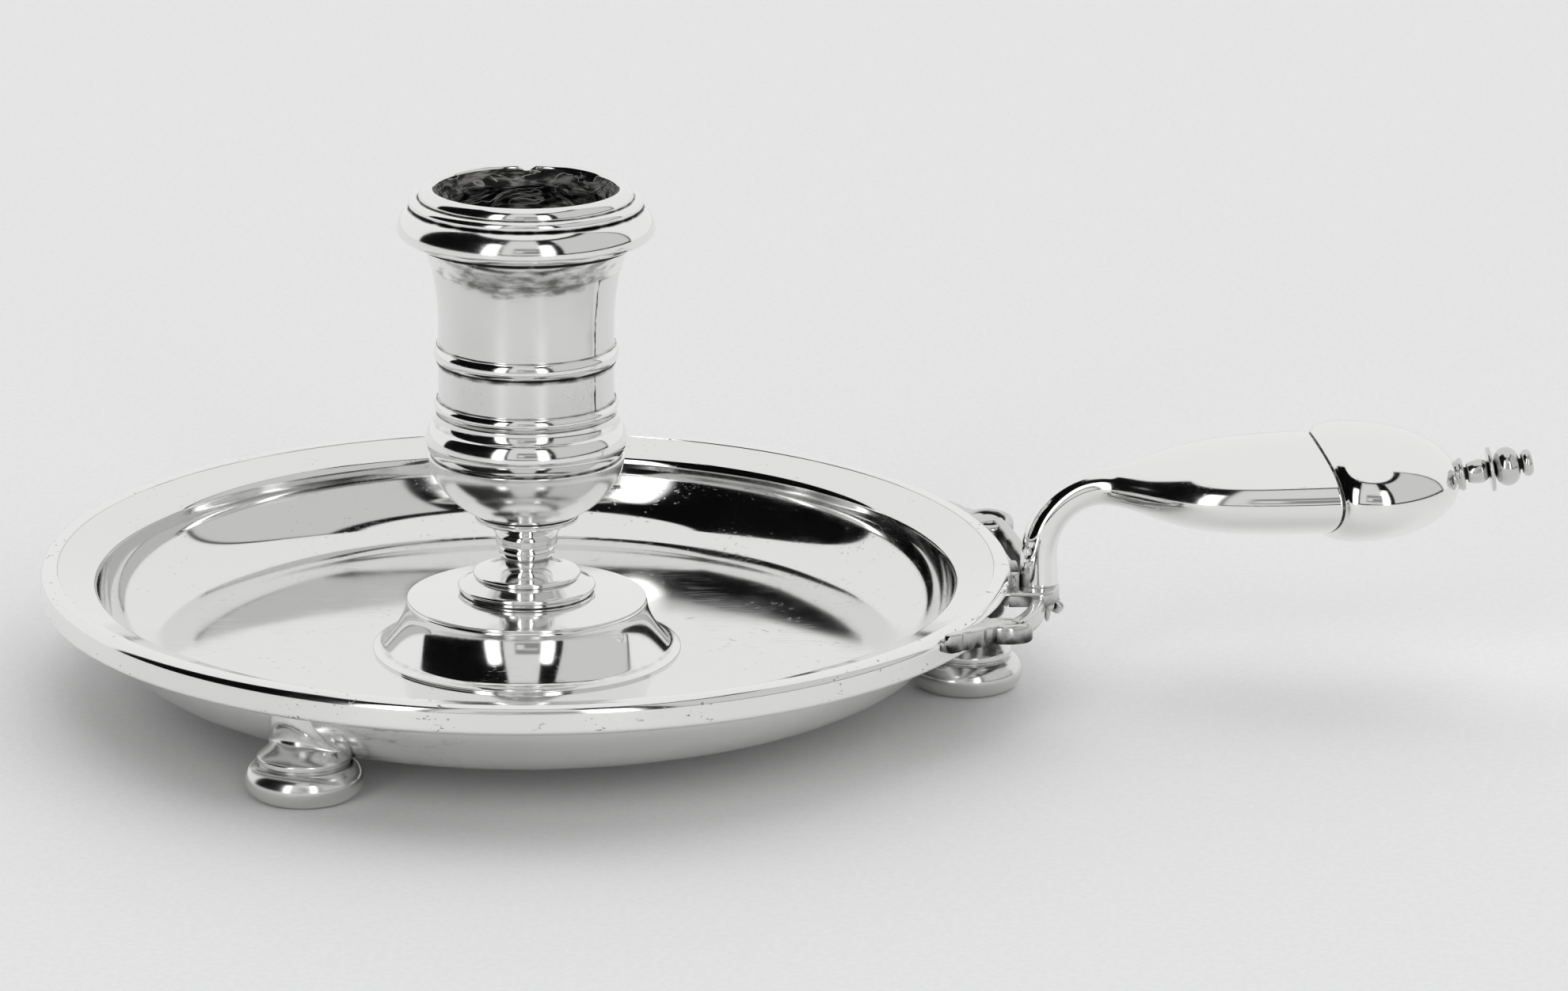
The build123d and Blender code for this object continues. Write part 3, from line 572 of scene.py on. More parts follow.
@dataclass(frozen=True)
class PolishedSilver:
    """Sterling silver, buffed by hand: a mirror a little wavy, with hairline scratches and dark grooves.

    The eye gets sharp reflections that swim slightly, fine bright hairs across them, and black tarnish
    left in every groove that the cloth can't reach; on the bracket the same dark colour is painted shade.
    """

    name: str
    tone: str = "#f1f1f0"
    # oxide_and_shade: the colour of tarnish in grooves, also used as painted shade on the bracket
    oxide_and_shade: str = "#2a2a29"
    stained: str = "#83827f"
    grain: Grain = Grain.HANDWORK
    roughness: float = 0.05
    smudge: float = 0.06
    scratches: float = 0.10
    nicks: float = 0.0
    wave_height: float = 0.010
    wave_size: float = 9.0
    oxide_and_shade_start: float = 0.14
    oxide_and_shade_full: float = 0.85
    brushed: float = 0.0
    seam_turn: float | None = None

    def hairs(self, p: Pattern) -> bpy.types.NodeSocket:
        """Hairline scratches: peaks of noise drawn out 60 times, in three directions, here and there.

        Real ones are a few hundredths of a millimetre wide; these are 0.16, so that they show.

        Args:
            p: the material's tree.

        Returns:
            One on a scratch, nought elsewhere.
        """
        lines = []
        for turn in ((0.3, 0.2, 0.5), (1.1, 0.7, 1.9), (2.0, 1.4, 2.9)):
            streak = p.noise(0.16, 1.0, (60.0, 1.0, 1.0), turn)
            lines.append(p.add("MapRange", streak, 0.66, 0.74, **SOFT)[0])
        both = p.add("Math", lines[0], lines[1], operation="MAXIMUM")[0]
        total = p.add("Math", both, lines[2], operation="MAXIMUM")[0]
        patch = p.add("MapRange", p.noise(6.0), 0.42, 0.62, **SOFT)[0]
        return p.add("Math", total, patch, operation="MULTIPLY")[0]

    def pits(self, p: Pattern) -> bpy.types.NodeSocket:
        """Nicks and dents, at the strength nicks: short dark dashes where two noises both peak.

        Args:
            p: the material's tree.

        Returns:
            The depth of the nicks.
        """
        dash = p.add("MapRange", p.noise(0.9, 2.0, (1.0, 1.0, 0.45)), 0.655, 0.70, **SOFT)[0]
        where = p.add("MapRange", p.noise(7.0, 1.0), 0.50, 0.60, **SOFT)[0]
        cut = p.add("Math", dash, where, operation="MULTIPLY")[0]
        return p.add("Math", cut, self.nicks, operation="MULTIPLY")[0]

    def seam(self, p: Pattern) -> bpy.types.NodeSocket:
        """A soldered seam up a tube: a thin upright line at one turn, wandering with height.

        Args:
            p: the material's tree.

        Returns:
            How dark the seam is: nine tenths on its line, nought elsewhere.
        """
        x, y, z = p.add("SeparateXYZ", p.place)[:3]
        turn = p.add("Math", y, x, operation="ARCTAN2")[0]
        height = p.add("CombineXYZ", {2: z})[0]
        wander = p.add("TexNoise", {"Vector": height, "Scale": 0.45, "Detail": 3.0})[0]
        line = p.add("Math", wander, 0.06, turn, operation="MULTIPLY_ADD")[0]
        off = p.add("Math", line, self.seam_turn + 0.03, operation="SUBTRACT")[0]
        off = p.add("Math", off, operation="ABSOLUTE")[0]
        width = p.add("Math", p.noise(1.6, 3.0), 0.052, -0.0165, operation="MULTIPLY_ADD")[0]
        inside = p.add("Math", off, width, operation="LESS_THAN")[0]
        return p.add("Math", inside, 0.9, operation="MULTIPLY")[0]

    def strokes(self, p: Pattern) -> bpy.types.NodeSocket:
        """The lathe's strokes: noise that follows the radius and the height, about 0.2 mm apart.

        Args:
            p: the material's tree.

        Returns:
            The noise, round about a half.
        """
        x, y, z = p.add("SeparateXYZ", p.place)[:3]
        squares = [p.add("Math", way, way, operation="MULTIPLY")[0] for way in (x, y)]
        radius = p.add("Math", p.add("Math", *squares, operation="ADD")[0], operation="SQRT")[0]
        rings = p.add("CombineXYZ", {0: radius, 2: z})[0]
        return p.add("TexNoise", {"Vector": rings, "Scale": 5.0, "Detail": 3.0})[0]

    def blotch(self, p: Pattern, stain: bpy.types.NodeSocket) -> bpy.types.NodeSocket:
        """The stain's ragged edge, drawn out downwards.

        Args:
            p: the material's tree.
            stain: the mark it follows.

        Returns:
            The share of stained colour.
        """
        ragged = p.add("Math", stain, 0.50, p.noise(1.3, 7.0, (2.2, 2.2, 0.8)), operation="MULTIPLY_ADD")[0]
        ragged = p.add("MapRange", ragged, 0.62, 0.98, **SOFT)[0]
        within = p.add("MapRange", stain, 0.0, 0.35, **SOFT)[0]
        return p.add("Math", ragged, within, operation="MULTIPLY")[0]

    def build(self) -> bpy.types.Material:
        """Builds the material.

        Returns:
            The material, ready for a piece.
        """
        p = Pattern(self.name)
        groove, satin, stain = (p.add("Attribute", attribute_name=mark.value)["Fac"]
                                for mark in (Mark.GROOVE_AND_SHADE, Mark.SATIN, Mark.STAIN))
        hairs = self.hairs(p)
        smudges = p.add("MapRange", p.noise(14.0, 4.0), 0.40, 0.75, 0.0, self.smudge, **SOFT)[0]
        rough = p.add("Math", hairs, self.scratches, self.roughness, operation="MULTIPLY_ADD")[0]
        rough = p.add("Math", rough, smudges, operation="ADD")[0]
        patchy = p.add("MapRange", p.noise(2.4, 5.0), 0.30, 0.70, 0.62, 1.12, **SOFT)[0]
        # The groove mark, made patchy, turns to the dark colour: tarnish in grooves, and painted shade in the
        # bracket's recesses, gaps and undersides
        depth = p.add("Math", groove, patchy, operation="MULTIPLY")[0]
        oxide_and_shade = p.add("MapRange", depth, self.oxide_and_shade_start, self.oxide_and_shade_full, **SOFT)[0]
        height = p.add("Math", hairs, -0.0012, operation="MULTIPLY")[0]
        wave = p.noise(self.wave_size, 1.0)
        height = p.add("Math", wave, self.wave_height, height, operation="MULTIPLY_ADD")[0]
        if self.nicks:
            pits = self.pits(p)
            oxide_and_shade = p.add("Math", oxide_and_shade, pits, operation="MAXIMUM")[0]
            height = p.add("Math", pits, -0.04, height, operation="MULTIPLY_ADD")[0]
        if self.seam_turn is not None:
            oxide_and_shade = p.add("Math", oxide_and_shade, self.seam(p), operation="MAXIMUM")[0]
        if self.grain is Grain.TURNED:
            strokes = self.strokes(p)
            dull = p.add("MapRange", strokes, 0.5, 0.8, **SOFT)[0]
            rough = p.add("Math", dull, 0.05, rough, operation="MULTIPLY_ADD")[0]
            height = p.add("Math", strokes, 0.0006, height, operation="MULTIPLY_ADD")[0]
        colour = linear(self.tone)
        for share, tint in ((self.blotch(p, stain), self.stained), (oxide_and_shade, self.oxide_and_shade)):
            colour = p.add("Mix", {0: share, 6: colour, 7: linear(tint)}, data_type="RGBA")[2]
        for cause, share in ((oxide_and_shade, 0.38), (stain, 0.16), (satin, 0.25)):
            rough = p.add("Math", cause, share, rough, operation="MULTIPLY_ADD")[0]
        return p.surface(height, 1.0, {
            "Base Color": colour, "Metallic": 1.0, "Roughness": rough,
            "Anisotropic": self.brushed, "Anisotropic Rotation": 0.25 if self.brushed else 0.0})


@dataclass(frozen=True)
class TarnishedBore:
    """Silver sulphide with old wax and soot baked on: nearly black, with painted highlights along its
    wrinkles.

    The eye gets a dark crust whose wrinkles carry thin curling lines of painted highlight.
    """

    name: str
    dark: str = "#1e1e1e"
    warm: str = "#92918f"
    painted_glint: str = "#a2a19f"

    def build(self) -> bpy.types.Material:
        """Builds the material.

        Returns:
            The material, ready for a piece.
        """
        p = Pattern(self.name)
        crust = p.noise(4.6, 3.0, (2.0, 1.0, 0.55), (0.3, 0.5, 0.0), 1.1)
        film = p.noise(2.6, 5.0, (1.8, 1.0, 0.5), (0.3, 0.5, 0.0), 0.8)
        wrinkle = p.add("Math", crust, 0.5, operation="SUBTRACT")[0]
        wrinkle = p.add("Math", wrinkle, operation="ABSOLUTE")[0]
        colour = linear(self.dark)
        # The second mix paints pale highlight lines along the wrinkles
        for share, tint in ((p.add("MapRange", film, 0.44, 0.66, **SOFT)[0], self.warm),
                            (p.add("MapRange", wrinkle, 0.022, 0.002, **SOFT)[0], self.painted_glint)):
            colour = p.add("Mix", {0: share, 6: colour, 7: linear(tint)}, data_type="RGBA")[2]
        height = p.add("Math", film, 0.15, operation="MULTIPLY")[0]
        height = p.add("Math", wrinkle, 1.2, height, operation="MULTIPLY_ADD")[0]
        rough = p.add("MapRange", film, 0.3, 0.7, 0.32, 0.55, **SOFT)[0]
        return p.surface(height, 1.0, {"Base Color": colour, "Metallic": 0.85, "Roughness": rough})


@dataclass(frozen=True)
class DarkSolder:
    """Silver solder, filed and left to oxidise: a dull charcoal line with a few bright specks."""

    name: str
    dark: str = "#4c4b4a"
    bright: str = "#a3a19e"

    def build(self) -> bpy.types.Material:
        """Builds the material.

        Returns:
            The material, ready for a piece.
        """
        p = Pattern(self.name)
        speck = p.noise(0.7, 4.0)
        share = p.add("MapRange", speck, 0.52, 0.7, **SOFT)[0]
        colour = p.add("Mix", {0: share, 6: linear(self.dark), 7: linear(self.bright)}, data_type="RGBA")[2]
        height = p.add("Math", speck, 0.08, operation="MULTIPLY")[0]
        rough = p.add("MapRange", speck, 0.3, 0.7, 0.55, 0.35, **SOFT)[0]
        return p.surface(height, 0.8, {"Base Color": colour, "Metallic": 1.0, "Roughness": rough})


@dataclass(frozen=True)
class PaperTable:
    """Matt card on the table: pale grey, almost even, with the faintest fibre."""

    name: str = "table_card"
    tone: str = "#f0f0f0"
    shade: str = "#ececec"

    def build(self) -> bpy.types.Material:
        """Builds the material.

        Returns:
            The material, ready for the floor.
        """
        p = Pattern(self.name)
        fibre = p.noise(0.8, 3.0)
        share = p.add("MapRange", fibre, 0.3, 0.7, **SOFT)[0]
        colour = p.add("Mix", {0: share, 6: linear(self.shade), 7: linear(self.tone)}, data_type="RGBA")[2]
        height = p.add("Math", fibre, 0.02, operation="MULTIPLY")[0]
        return p.surface(height, 0.3, {"Base Color": colour, "Roughness": 0.6, "Specular IOR Level": 0.25})


# ---- pan and band ----
@dataclass
class Pan:
    """The raised pan and the wire round its rim."""

    floor: float = PAN_FLOOR
    sheet: float = 0.8
    rim_line: float = RIM_LINE
    rim_radius: float = 62.0
    well_radius: float = 56.8
    corner: float = 9.5
    roll: float = 1.3
    flange_rise: float = 1.75
    band_radius: float = 64.29
    band_height: float = 3.9
    band_proud: float = 0.12
    band_top_round: float = 1.15
    band_foot_round: float = 0.75
    turns: int = TURNS + 96
    dent: float = 0.05
    dent_fades: float = 6.0
    worn_place: tuple[float, float] = (-20.0, -53.0)
    worn_reach: float = 13.0

    @property
    def knee(self) -> float:
        """The height where the wall turns into the flange."""
        return self.rim_line - self.flange_rise

    @property
    def slope(self) -> float:
        """The flange's climb for each millimetre outwards."""
        return self.flange_rise / (self.rim_radius - self.well_radius)

    @property
    def upright_sheet(self) -> float:
        """The sheet's thickness measured straight up through the flange."""
        return self.sheet * math.hypot(1, self.slope)

    def under(self, reach: np.ndarray) -> np.ndarray:
        """The height of the pan's underside: floor, corner arc, then flange.

        Args:
            reach: how far from the axis.

        Returns:
            The height at each reach.
        """
        start = self.well_radius - self.corner
        outer = self.corner + self.sheet
        along = np.clip(reach - start, 0, outer)
        arc = self.floor + self.corner - np.sqrt(outer**2 - along**2)
        flange = self.knee - self.upright_sheet + (reach - self.well_radius) * self.slope
        return np.where(reach < start + outer, arc, flange)

    def sheet_profile(self) -> Profile:
        """The sheet's outline: out along the top, down at the rim, and back along the underside.

        Returns:
            The outline, worn.
        """
        wall, sheet = self.well_radius, self.sheet
        under_knee = self.knee - (self.upright_sheet - sheet * self.slope)
        outline = Outline(0, self.floor)
        outline.line((wall, self.floor, self.corner), (wall, self.knee, self.roll),
                     (self.rim_radius, self.rim_line), (self.rim_radius, self.rim_line - self.upright_sheet),
                     (wall + sheet, under_knee, self.roll - sheet),
                     (wall + sheet, self.floor - sheet, self.corner + sheet), (0, self.floor - sheet))
        return outline.worn(0.07, 260)

    def band_profile(self) -> Profile:
        """The wire's outline: flat inside, rounded over the top and under the foot.

        Returns:
            The outline, worn.
        """
        top = self.rim_line + self.band_proud
        foot = top - self.band_height
        outline = Outline(self.rim_radius, foot + self.band_height / 2)
        outline.line((self.rim_radius, top), (self.band_radius, top, self.band_top_round),
                     (self.band_radius, foot, self.band_foot_round), (self.rim_radius, foot),
                     (self.rim_radius, foot + self.band_height / 2))
        return outline.worn(0.10, 72, closed=True)

    def dress(self, sheet: bpy.types.Material, wire: bpy.types.Material) -> None:
        """Builds the pan, beaten very slightly uneven, and its band.

        The underside is stained most near one worn place, and it and the floor are a little dull.

        Args:
            sheet: the pan's finish.
            wire: the band's finish.
        """
        profile = self.sheet_profile()
        rows = turned(profile, turns=self.turns)
        x, y = rows[..., 0], rows[..., 1]
        ease = np.clip((self.rim_radius - from_axis(rows)) / self.dent_fades, 0, 1)
        rows[..., 2] += self.dent * ease * (ripple(x, y, 34, 3) + 0.5 * ripple(x, y, 15, 4))
        under = (np.arange(len(rows)) > np.argmax(profile.points[:, 0])).astype(float)[:, None]
        away = np.hypot(x - self.worn_place[0], y - self.worn_place[1])
        level = np.clip((rows[..., 2] - self.floor) / 1.2, 0, 1)
        marks = {Mark.GROOVE_AND_SHADE: 0.6 * profile.groove,
                 Mark.STAIN: under * (0.06 + 0.24 * np.exp(-(away / self.worn_reach) ** 2)),
                 Mark.SATIN: 0.40 * under + 0.12 * (1 - under) * (1 - level)}
        lay("pan_sheet", Skin(rows, marks=marks), sheet, "pan_silver", "pan")
        profile = self.band_profile()
        skin = Skin(turned(profile, turns=self.turns), True, {Mark.GROOVE_AND_SHADE: profile.groove})
        lay("rim_wire", skin, wire, "band_silver", "rim_band")


# ---- feet ----
@dataclass
class BunFoot:
    """A turned bun foot whose neck is soldered to the pan's underside."""

    name: str
    stands_for: str
    reach: float
    turn: float
    pan: Pan
    table: float = TABLE
    contact: float = 6.2
    bun: float = 7.55
    bun_level: float = 2.3
    bun_height: float = 4.4
    bun_top: float = 6.2
    quirk: float = 0.35
    quirk_radius: float = 5.75
    bell: float = 6.0
    bell_edge: float = 0.7
    bell_height: float = 2.9
    neck: float = 3.1
    solder_flare: float = 1.3
    solder_reach: float = 0.9
    top: float = 16.5
    into_sheet: float = 0.3

    def profile(self) -> Profile:
        """The foot's outline from its sole up the bun, the quirk and the bell to the neck.

        Returns:
            The outline, worn.
        """
        ledge = self.bun_height + self.quirk
        edge = ledge + self.bell_edge
        outline = Outline(0, 0.12)
        outline.ease((self.contact - 0.5, 0), (1, 0), (1, -0.05))
        outline.arc((self.bun, self.bun_level), (self.bun_top, self.bun_height))
        outline.line((self.quirk_radius, self.bun_height), (self.quirk_radius, ledge), (self.bell, ledge),
                     (self.bell, edge))
        outline.ease((self.neck, edge + self.bell_height), (-1, 1), (0, 1))
        outline.line((self.neck, self.top), (0, self.top))
        return outline.worn(0.10, 180, reach=0.32)

    def dress(self, finish: bpy.types.Material) -> None:
        """Builds the foot; above its bell it flares into solder and stops inside the pan's sheet.

        Args:
            finish: the foot's finish.
        """
        profile = self.profile()
        centre = (self.reach * math.cos(self.turn), self.reach * math.sin(self.turn), self.table)
        rows = turned(profile, centre)
        gap = self.pan.under(from_axis(rows)) - rows[..., 2]
        upper = rows[..., 2] > self.table + self.bun_height + self.bell_edge + self.bell_height / 2
        flare = np.where(upper, self.solder_flare * np.exp(-np.clip(gap, 0, None) / self.solder_reach), 0)
        out = rows[..., :2] - np.array(centre[:2])
        size = np.maximum(np.linalg.norm(out, axis=-1), 1e-6)
        shell = size > self.neck * 0.5
        rows[..., :2] += out / size[..., None] * np.where(shell, flare, 0)[..., None]
        under = self.pan.under(from_axis(rows))
        rows[..., 2] = np.minimum(rows[..., 2], under + self.into_sheet)
        joint = np.clip(1 - np.abs(under - rows[..., 2]) / 0.25, 0, 1) * 0.5
        groove = np.maximum(0.4 * profile.groove[:, None], np.where(upper, joint, 0))
        lay(self.name, Skin(rows, marks={Mark.GROOVE_AND_SHADE: groove}), finish, "cast_silver", self.stands_for)


# ---- socket ----
@dataclass
class Socket:
    """The candle socket: bell-shaped base, stem, cup, tube with its wires, moulded mouth."""

    pan_floor: float = PAN_FLOOR
    stem_foot: float = -23.9
    cup_foot: float = -13.1
    bowl: float = 8.2
    tube_foot: float = -0.7
    tube_top: float = 28.75
    moulding_height: float = 8.15
    tube: float = 11.6
    flare: float = 12.4
    bore: float = 10.9
    mouth: float = 12.15
    crust_depth: float = 0.22
    nick_depth: float = 0.62
    nick_turn: float = 90.5
    nick_width: float = 5.4
    # Where two turned pieces meet: radius, height, how far the black line reaches, and its strength
    joints: tuple[tuple[float, float, float, float], ...] = (
        (8.75, -23.9, 0.22, 0.8), (6.6, -13.1, 0.18, 0.8), (11.8, 0.95, 0.20, 0.7), (11.8, 2.9, 0.22, 0.7),
        (11.8, 7.85, 0.42, 1.2), (11.8, 10.3, 0.18, 0.7), (14.2, 23.95, 0.42, 1.2), (15.3, 28.75, 0.34, 1.1),
        (14.15, 29.95, 0.20, 0.8),
    )

    @property
    def moulding_foot(self) -> float:
        """The height where the moulding under the mouth begins."""
        return self.tube_top - self.moulding_height

    def base(self) -> Profile:
        """The bell: flat seat, sloping crown, crisp shoulder over a fine line, hollow side and thin foot.

        Returns:
            The outline, worn.
        """
        shoulder = self.stem_foot - 0.75
        outline = Outline(0, self.stem_foot)
        outline.line((9.7, self.stem_foot), (15.9, shoulder), (15.93, shoulder - 0.22),
                     (15.78, shoulder - 0.34), (15.96, shoulder - 0.46), (16.02, shoulder - 0.65))
        outline.ease((18.95, self.pan_floor + 0.85), (0.10, -1), (0.85, -1))
        outline.ease((20.5, self.pan_floor + 0.35), (0.9, -1), (1, -0.12))
        outline.line((20.5, self.pan_floor - 0.1), (0, self.pan_floor - 0.1))
        return outline.worn(0.07, 240)

    def stem(self) -> Profile:
        """The stem: two rounded tiers, a hollow rise, a knop, a collar and the flare under the cup.

        Returns:
            The outline, worn.
        """
        z = self.stem_foot
        outline = Outline(0, z)
        outline.line((8.75, z), (8.75, z + 0.55)).arc((9.15, z + 0.9), (8.75, z + 1.25))
        outline.line((6.75, z + 2.2)).arc((7.15, z + 2.575), (6.75, z + 2.95))
        outline.ease((3.35, z + 4.9), (-1, 0.15), (0, 1))
        outline.arc((3.75, z + 5.8), (3.35, z + 6.7))
        outline.line((4.1, z + 6.7), (4.1, z + 7.7))
        outline.ease((6.87, self.cup_foot - 0.7), (0, 1), (1, 0.35))
        outline.line((6.87, self.cup_foot), (0, self.cup_foot))
        return outline.worn(0.07, 230)

    def cup(self) -> Profile:
        """The cup: bowl, step, bulb and the coved rim that grips the tube.

        Returns:
            The outline, worn.
        """
        bowl_top = self.cup_foot + self.bowl
        bulb_foot = bowl_top + 0.25
        rim_top = self.tube_foot + 1.65
        outline = Outline(0, self.cup_foot)
        outline.line((6.5, self.cup_foot))
        outline.ease((13.0, bowl_top), (1, 0.42), (0.02, 1))
        outline.line((12.65, bowl_top), (12.65, bulb_foot))
        outline.arc((13.3, (bulb_foot + self.tube_foot) / 2), (12.65, self.tube_foot))
        outline.ease((11.95, rim_top), (-1, 0.3), (0, 1))
        outline.line((self.tube - 0.3, rim_top), (self.tube - 0.3, self.tube_foot), (0, self.tube_foot))
        return outline.worn(0.09, 220)

    def tube_wall(self) -> Profile:
        """The tube's wall, inside and out, flaring a little up to the moulding.

        Returns:
            The outline, worn.
        """
        flare_top = self.moulding_foot
        outline = Outline(self.tube, 8.0)
        outline.line((self.tube, flare_top - 7.1)).ease((self.flare, flare_top), (0, 1), (0.18, 1))
        outline.line((self.flare, flare_top + 0.2), (self.tube, flare_top + 0.2), (self.tube, self.tube_top),
                     (self.bore, self.tube_top), (self.bore, 0.0), (self.tube, 0.0), (self.tube, 8.0))
        return outline.worn(0.05, 260, closed=True)

    def wire(self, foot: float, height: float, proud: float) -> Profile:
        """A half-round wire between two small fillets.

        Args:
            foot: the height of its lower edge.
            height: how tall it is.
            proud: how far it stands out from the tube.

        Returns:
            The wire's outline.
        """
        inner, ledge, fillet_height = self.tube - 0.15, self.tube + 0.25, 0.25
        middle, top = foot + height / 2, foot + height
        outline = Outline(inner, middle)
        outline.line((inner, foot), (ledge, foot), (ledge, foot + fillet_height))
        outline.arc((self.tube + proud, middle), (ledge, top - fillet_height))
        outline.line((ledge, top), (inner, top), (inner, middle))
        return outline.worn(0.05, 72, closed=True)

    def moulding(self) -> Profile:
        """Under the mouth: a cavetto, a fillet and a fat torus whose widest line is low.

        Returns:
            The outline, worn.
        """
        foot = self.moulding_foot
        inner = self.tube - 0.15
        outline = Outline(inner, foot + 4)
        outline.line((inner, foot), (12.52, foot))
        outline.ease((13.7, foot + 3.1), (0.3, 1), (1, 1.5))
        outline.line((14.2, foot + 3.1), (14.2, foot + 3.6))
        outline.ease((16.95, foot + 5.2), (1, 0.05), (0, 1))
        outline.ease((15.2, self.tube_top), (0, 1), (-1, 0.6))
        outline.line((inner, self.tube_top), (inner, foot + 4))
        return outline.worn(0.06, 170, closed=True)

    def lip(self) -> Profile:
        """The lip: a small roll, a nick, and a broad roll that dips into the bore.

        Returns:
            The outline, worn.
        """
        top = self.tube_top + 2.65
        step = self.tube_top + 1.2
        outline = Outline(12.6, self.tube_top)
        outline.line((15.2, self.tube_top)).arc((15.4, self.tube_top + 0.6), (14.4, step))
        outline.line((14.1, step)).arc((13.95, (step + top) / 2), (13.05, top))
        outline.ease((self.mouth, top - 0.41), (-1, 0.06), (-0.35, -1))
        outline.line((self.bore, self.tube_top), (12.6, self.tube_top))
        return outline.worn(0.05, 130, closed=True)

    def dress(self, metal: bpy.types.Material, seamed: bpy.types.Material, crust: bpy.types.Material) -> None:
        """Builds the socket's nine pieces from the base up; the bowl is a little dull.

        Args:
            metal: the finish of the turned pieces.
            seamed: the tube's finish.
            crust: the finish of the tube's inside.
        """
        for name, profile, stands_for, dull in (("socket_dome", self.base(), "socket_base", 0.0),
                                                ("socket_stem", self.stem(), "stem", 0.0),
                                                ("socket_bulb", self.cup(), "socket_cup", 0.42)):
            satin = np.where(profile.points[:, 1] < self.cup_foot + self.bowl - 0.2, dull, 0.0)
            marks = {Mark.GROOVE_AND_SHADE: self.creased(profile), Mark.SATIN: satin}
            lay(name, Skin(turned(profile), marks=marks), metal, "socket_silver", stands_for)
        for name, profile, stands_for in (("tube_wire_low", self.wire(0.95, 1.95, 0.55), "lower_bead"),
                                          ("tube_wire_middle", self.wire(7.85, 2.45, 0.62), "middle_bead"),
                                          ("mouth_torus", self.moulding(), "mouth_moulding")):
            rows = turned(profile)
            lay(name, Skin(rows, True, self.marks(profile, rows)), metal, "socket_silver", stands_for)
        self.dress_tube(seamed, crust)
        self.dress_lip(metal, crust)

    def creased(self, profile: Profile) -> np.ndarray:
        """The profile's grooves, and the black line left wherever two turned pieces meet.

        Args:
            profile: the turned piece's outline.

        Returns:
            The groove mark for each of its points.
        """
        mark = 0.8 * profile.groove
        for radius, height, reach, strength in self.joints:
            away = np.hypot(profile.points[:, 0] - radius, profile.points[:, 1] - height)
            mark = np.maximum(mark, strength * np.exp(-((away / reach) ** 2)))
        return mark

    def marks(self, profile: Profile, rows: np.ndarray) -> dict[Mark, np.ndarray]:
        """The grooves of a piece near the mouth, and the solder run out at the moulding's foot.

        The stain is full at the joint and gone 3.2 mm above it. On the side the photo shows it is
        heaviest and runs down the tube in a crescent; both fade round the tube as bell curves.

        Args:
            profile: the piece's outline.
            rows: its points.

        Returns:
            The piece's marks.
        """
        above = (profile.points[:, 1] - self.moulding_foot)[:, None]
        outside = (profile.points[:, 0] > self.tube + 0.1)[:, None]
        turn = (np.degrees(np.arctan2(rows[..., 1], rows[..., 0])) + 270) % 360 - 180
        below = 0.2 + 1.7 * np.exp(-((turn / 46) ** 4))
        band = np.clip(1 - np.where(above > 0, above / 3.2, -above / below), 0, 1) ** 0.6
        stain = np.where(outside, band, 0) * (0.25 + 0.65 * np.exp(-((turn / 50) ** 2)))
        return {Mark.GROOVE_AND_SHADE: self.creased(profile), Mark.STAIN: stain}

    def dress_tube(self, seamed: bpy.types.Material, crust: bpy.types.Material) -> None:
        """Builds the seamed tube, whose inside carries an uneven crust, and the crusted candle seat.

        Args:
            seamed: the tube's finish.
            crust: the finish of its inside.
        """
        profile = self.tube_wall()
        rows = turned(profile)
        within = (self.tube + self.bore) / 2
        inside = profile.points[:, 0] < within
        angle = np.arctan2(rows[..., 1], rows[..., 0])
        lumps = 0.5 + 0.5 * ripple(angle * self.bore, rows[..., 2] * 1.7, 6.0, 11)
        deep = np.where(inside[:, None], self.crust_depth * lumps, 0)
        rows[..., :2] *= (1 + deep / np.maximum(from_axis(rows), 1e-6))[..., None]
        skin = Skin(rows, True, self.marks(profile, rows))
        self.crusted(lay("candle_tube_wall", skin, seamed, "tube_silver", "candle_tube"), rows, within, crust)
        edge = self.tube - 0.05
        seat = Outline(0, 0).line((edge, 0), (edge, self.tube_foot), (0, self.tube_foot)).worn(0.04, 60)
        skin = Skin(turned(seat), marks={Mark.GROOVE_AND_SHADE: seat.groove})
        lay("candle_seat", skin, crust, "bore_silver", "socket_floor")

    def crusted(self, piece: bpy.types.Object, rows: np.ndarray, within: float,
                crust: bpy.types.Material) -> None:
        """Gives the crust to the faces of a turned piece that lie within a radius.

        Args:
            piece: the piece.
            rows: its points.
            within: the radius.
            crust: the crust's finish.
        """
        faces = piece.data.polygons
        piece.data.materials.append(crust)
        corners = np.array([face.vertices[:] for face in faces])
        inside = from_axis(rows).reshape(-1)[corners].mean(axis=1) < within
        faces.foreach_set("material_index", inside.astype(np.int32))

    def dress_lip(self, metal: bpy.types.Material, crust: bpy.types.Material) -> None:
        """Builds the lip with its small nick at the back; the crust reaches up its inner side.

        Args:
            metal: the lip's finish.
            crust: the finish of its inner side.
        """
        profile = self.lip()
        rows = turned(profile)
        angle = np.arctan2(rows[..., 1], rows[..., 0])
        off = np.abs(angle - math.radians(self.nick_turn)) / math.radians(self.nick_width)
        notch = np.clip(1.2 - off, 0, 1)
        height = np.clip((rows[..., 2] - self.tube_top - 1.55) / 1.1, 0, 1)
        rows[..., 2] -= self.nick_depth * notch * notch * (3 - 2 * notch) * height
        skin = Skin(rows, True, {Mark.GROOVE_AND_SHADE: self.creased(profile)})
        piece = lay("mouth_roll", skin, metal, "socket_silver", "mouth_lip")
        self.crusted(piece, rows, self.mouth - 0.05, crust)


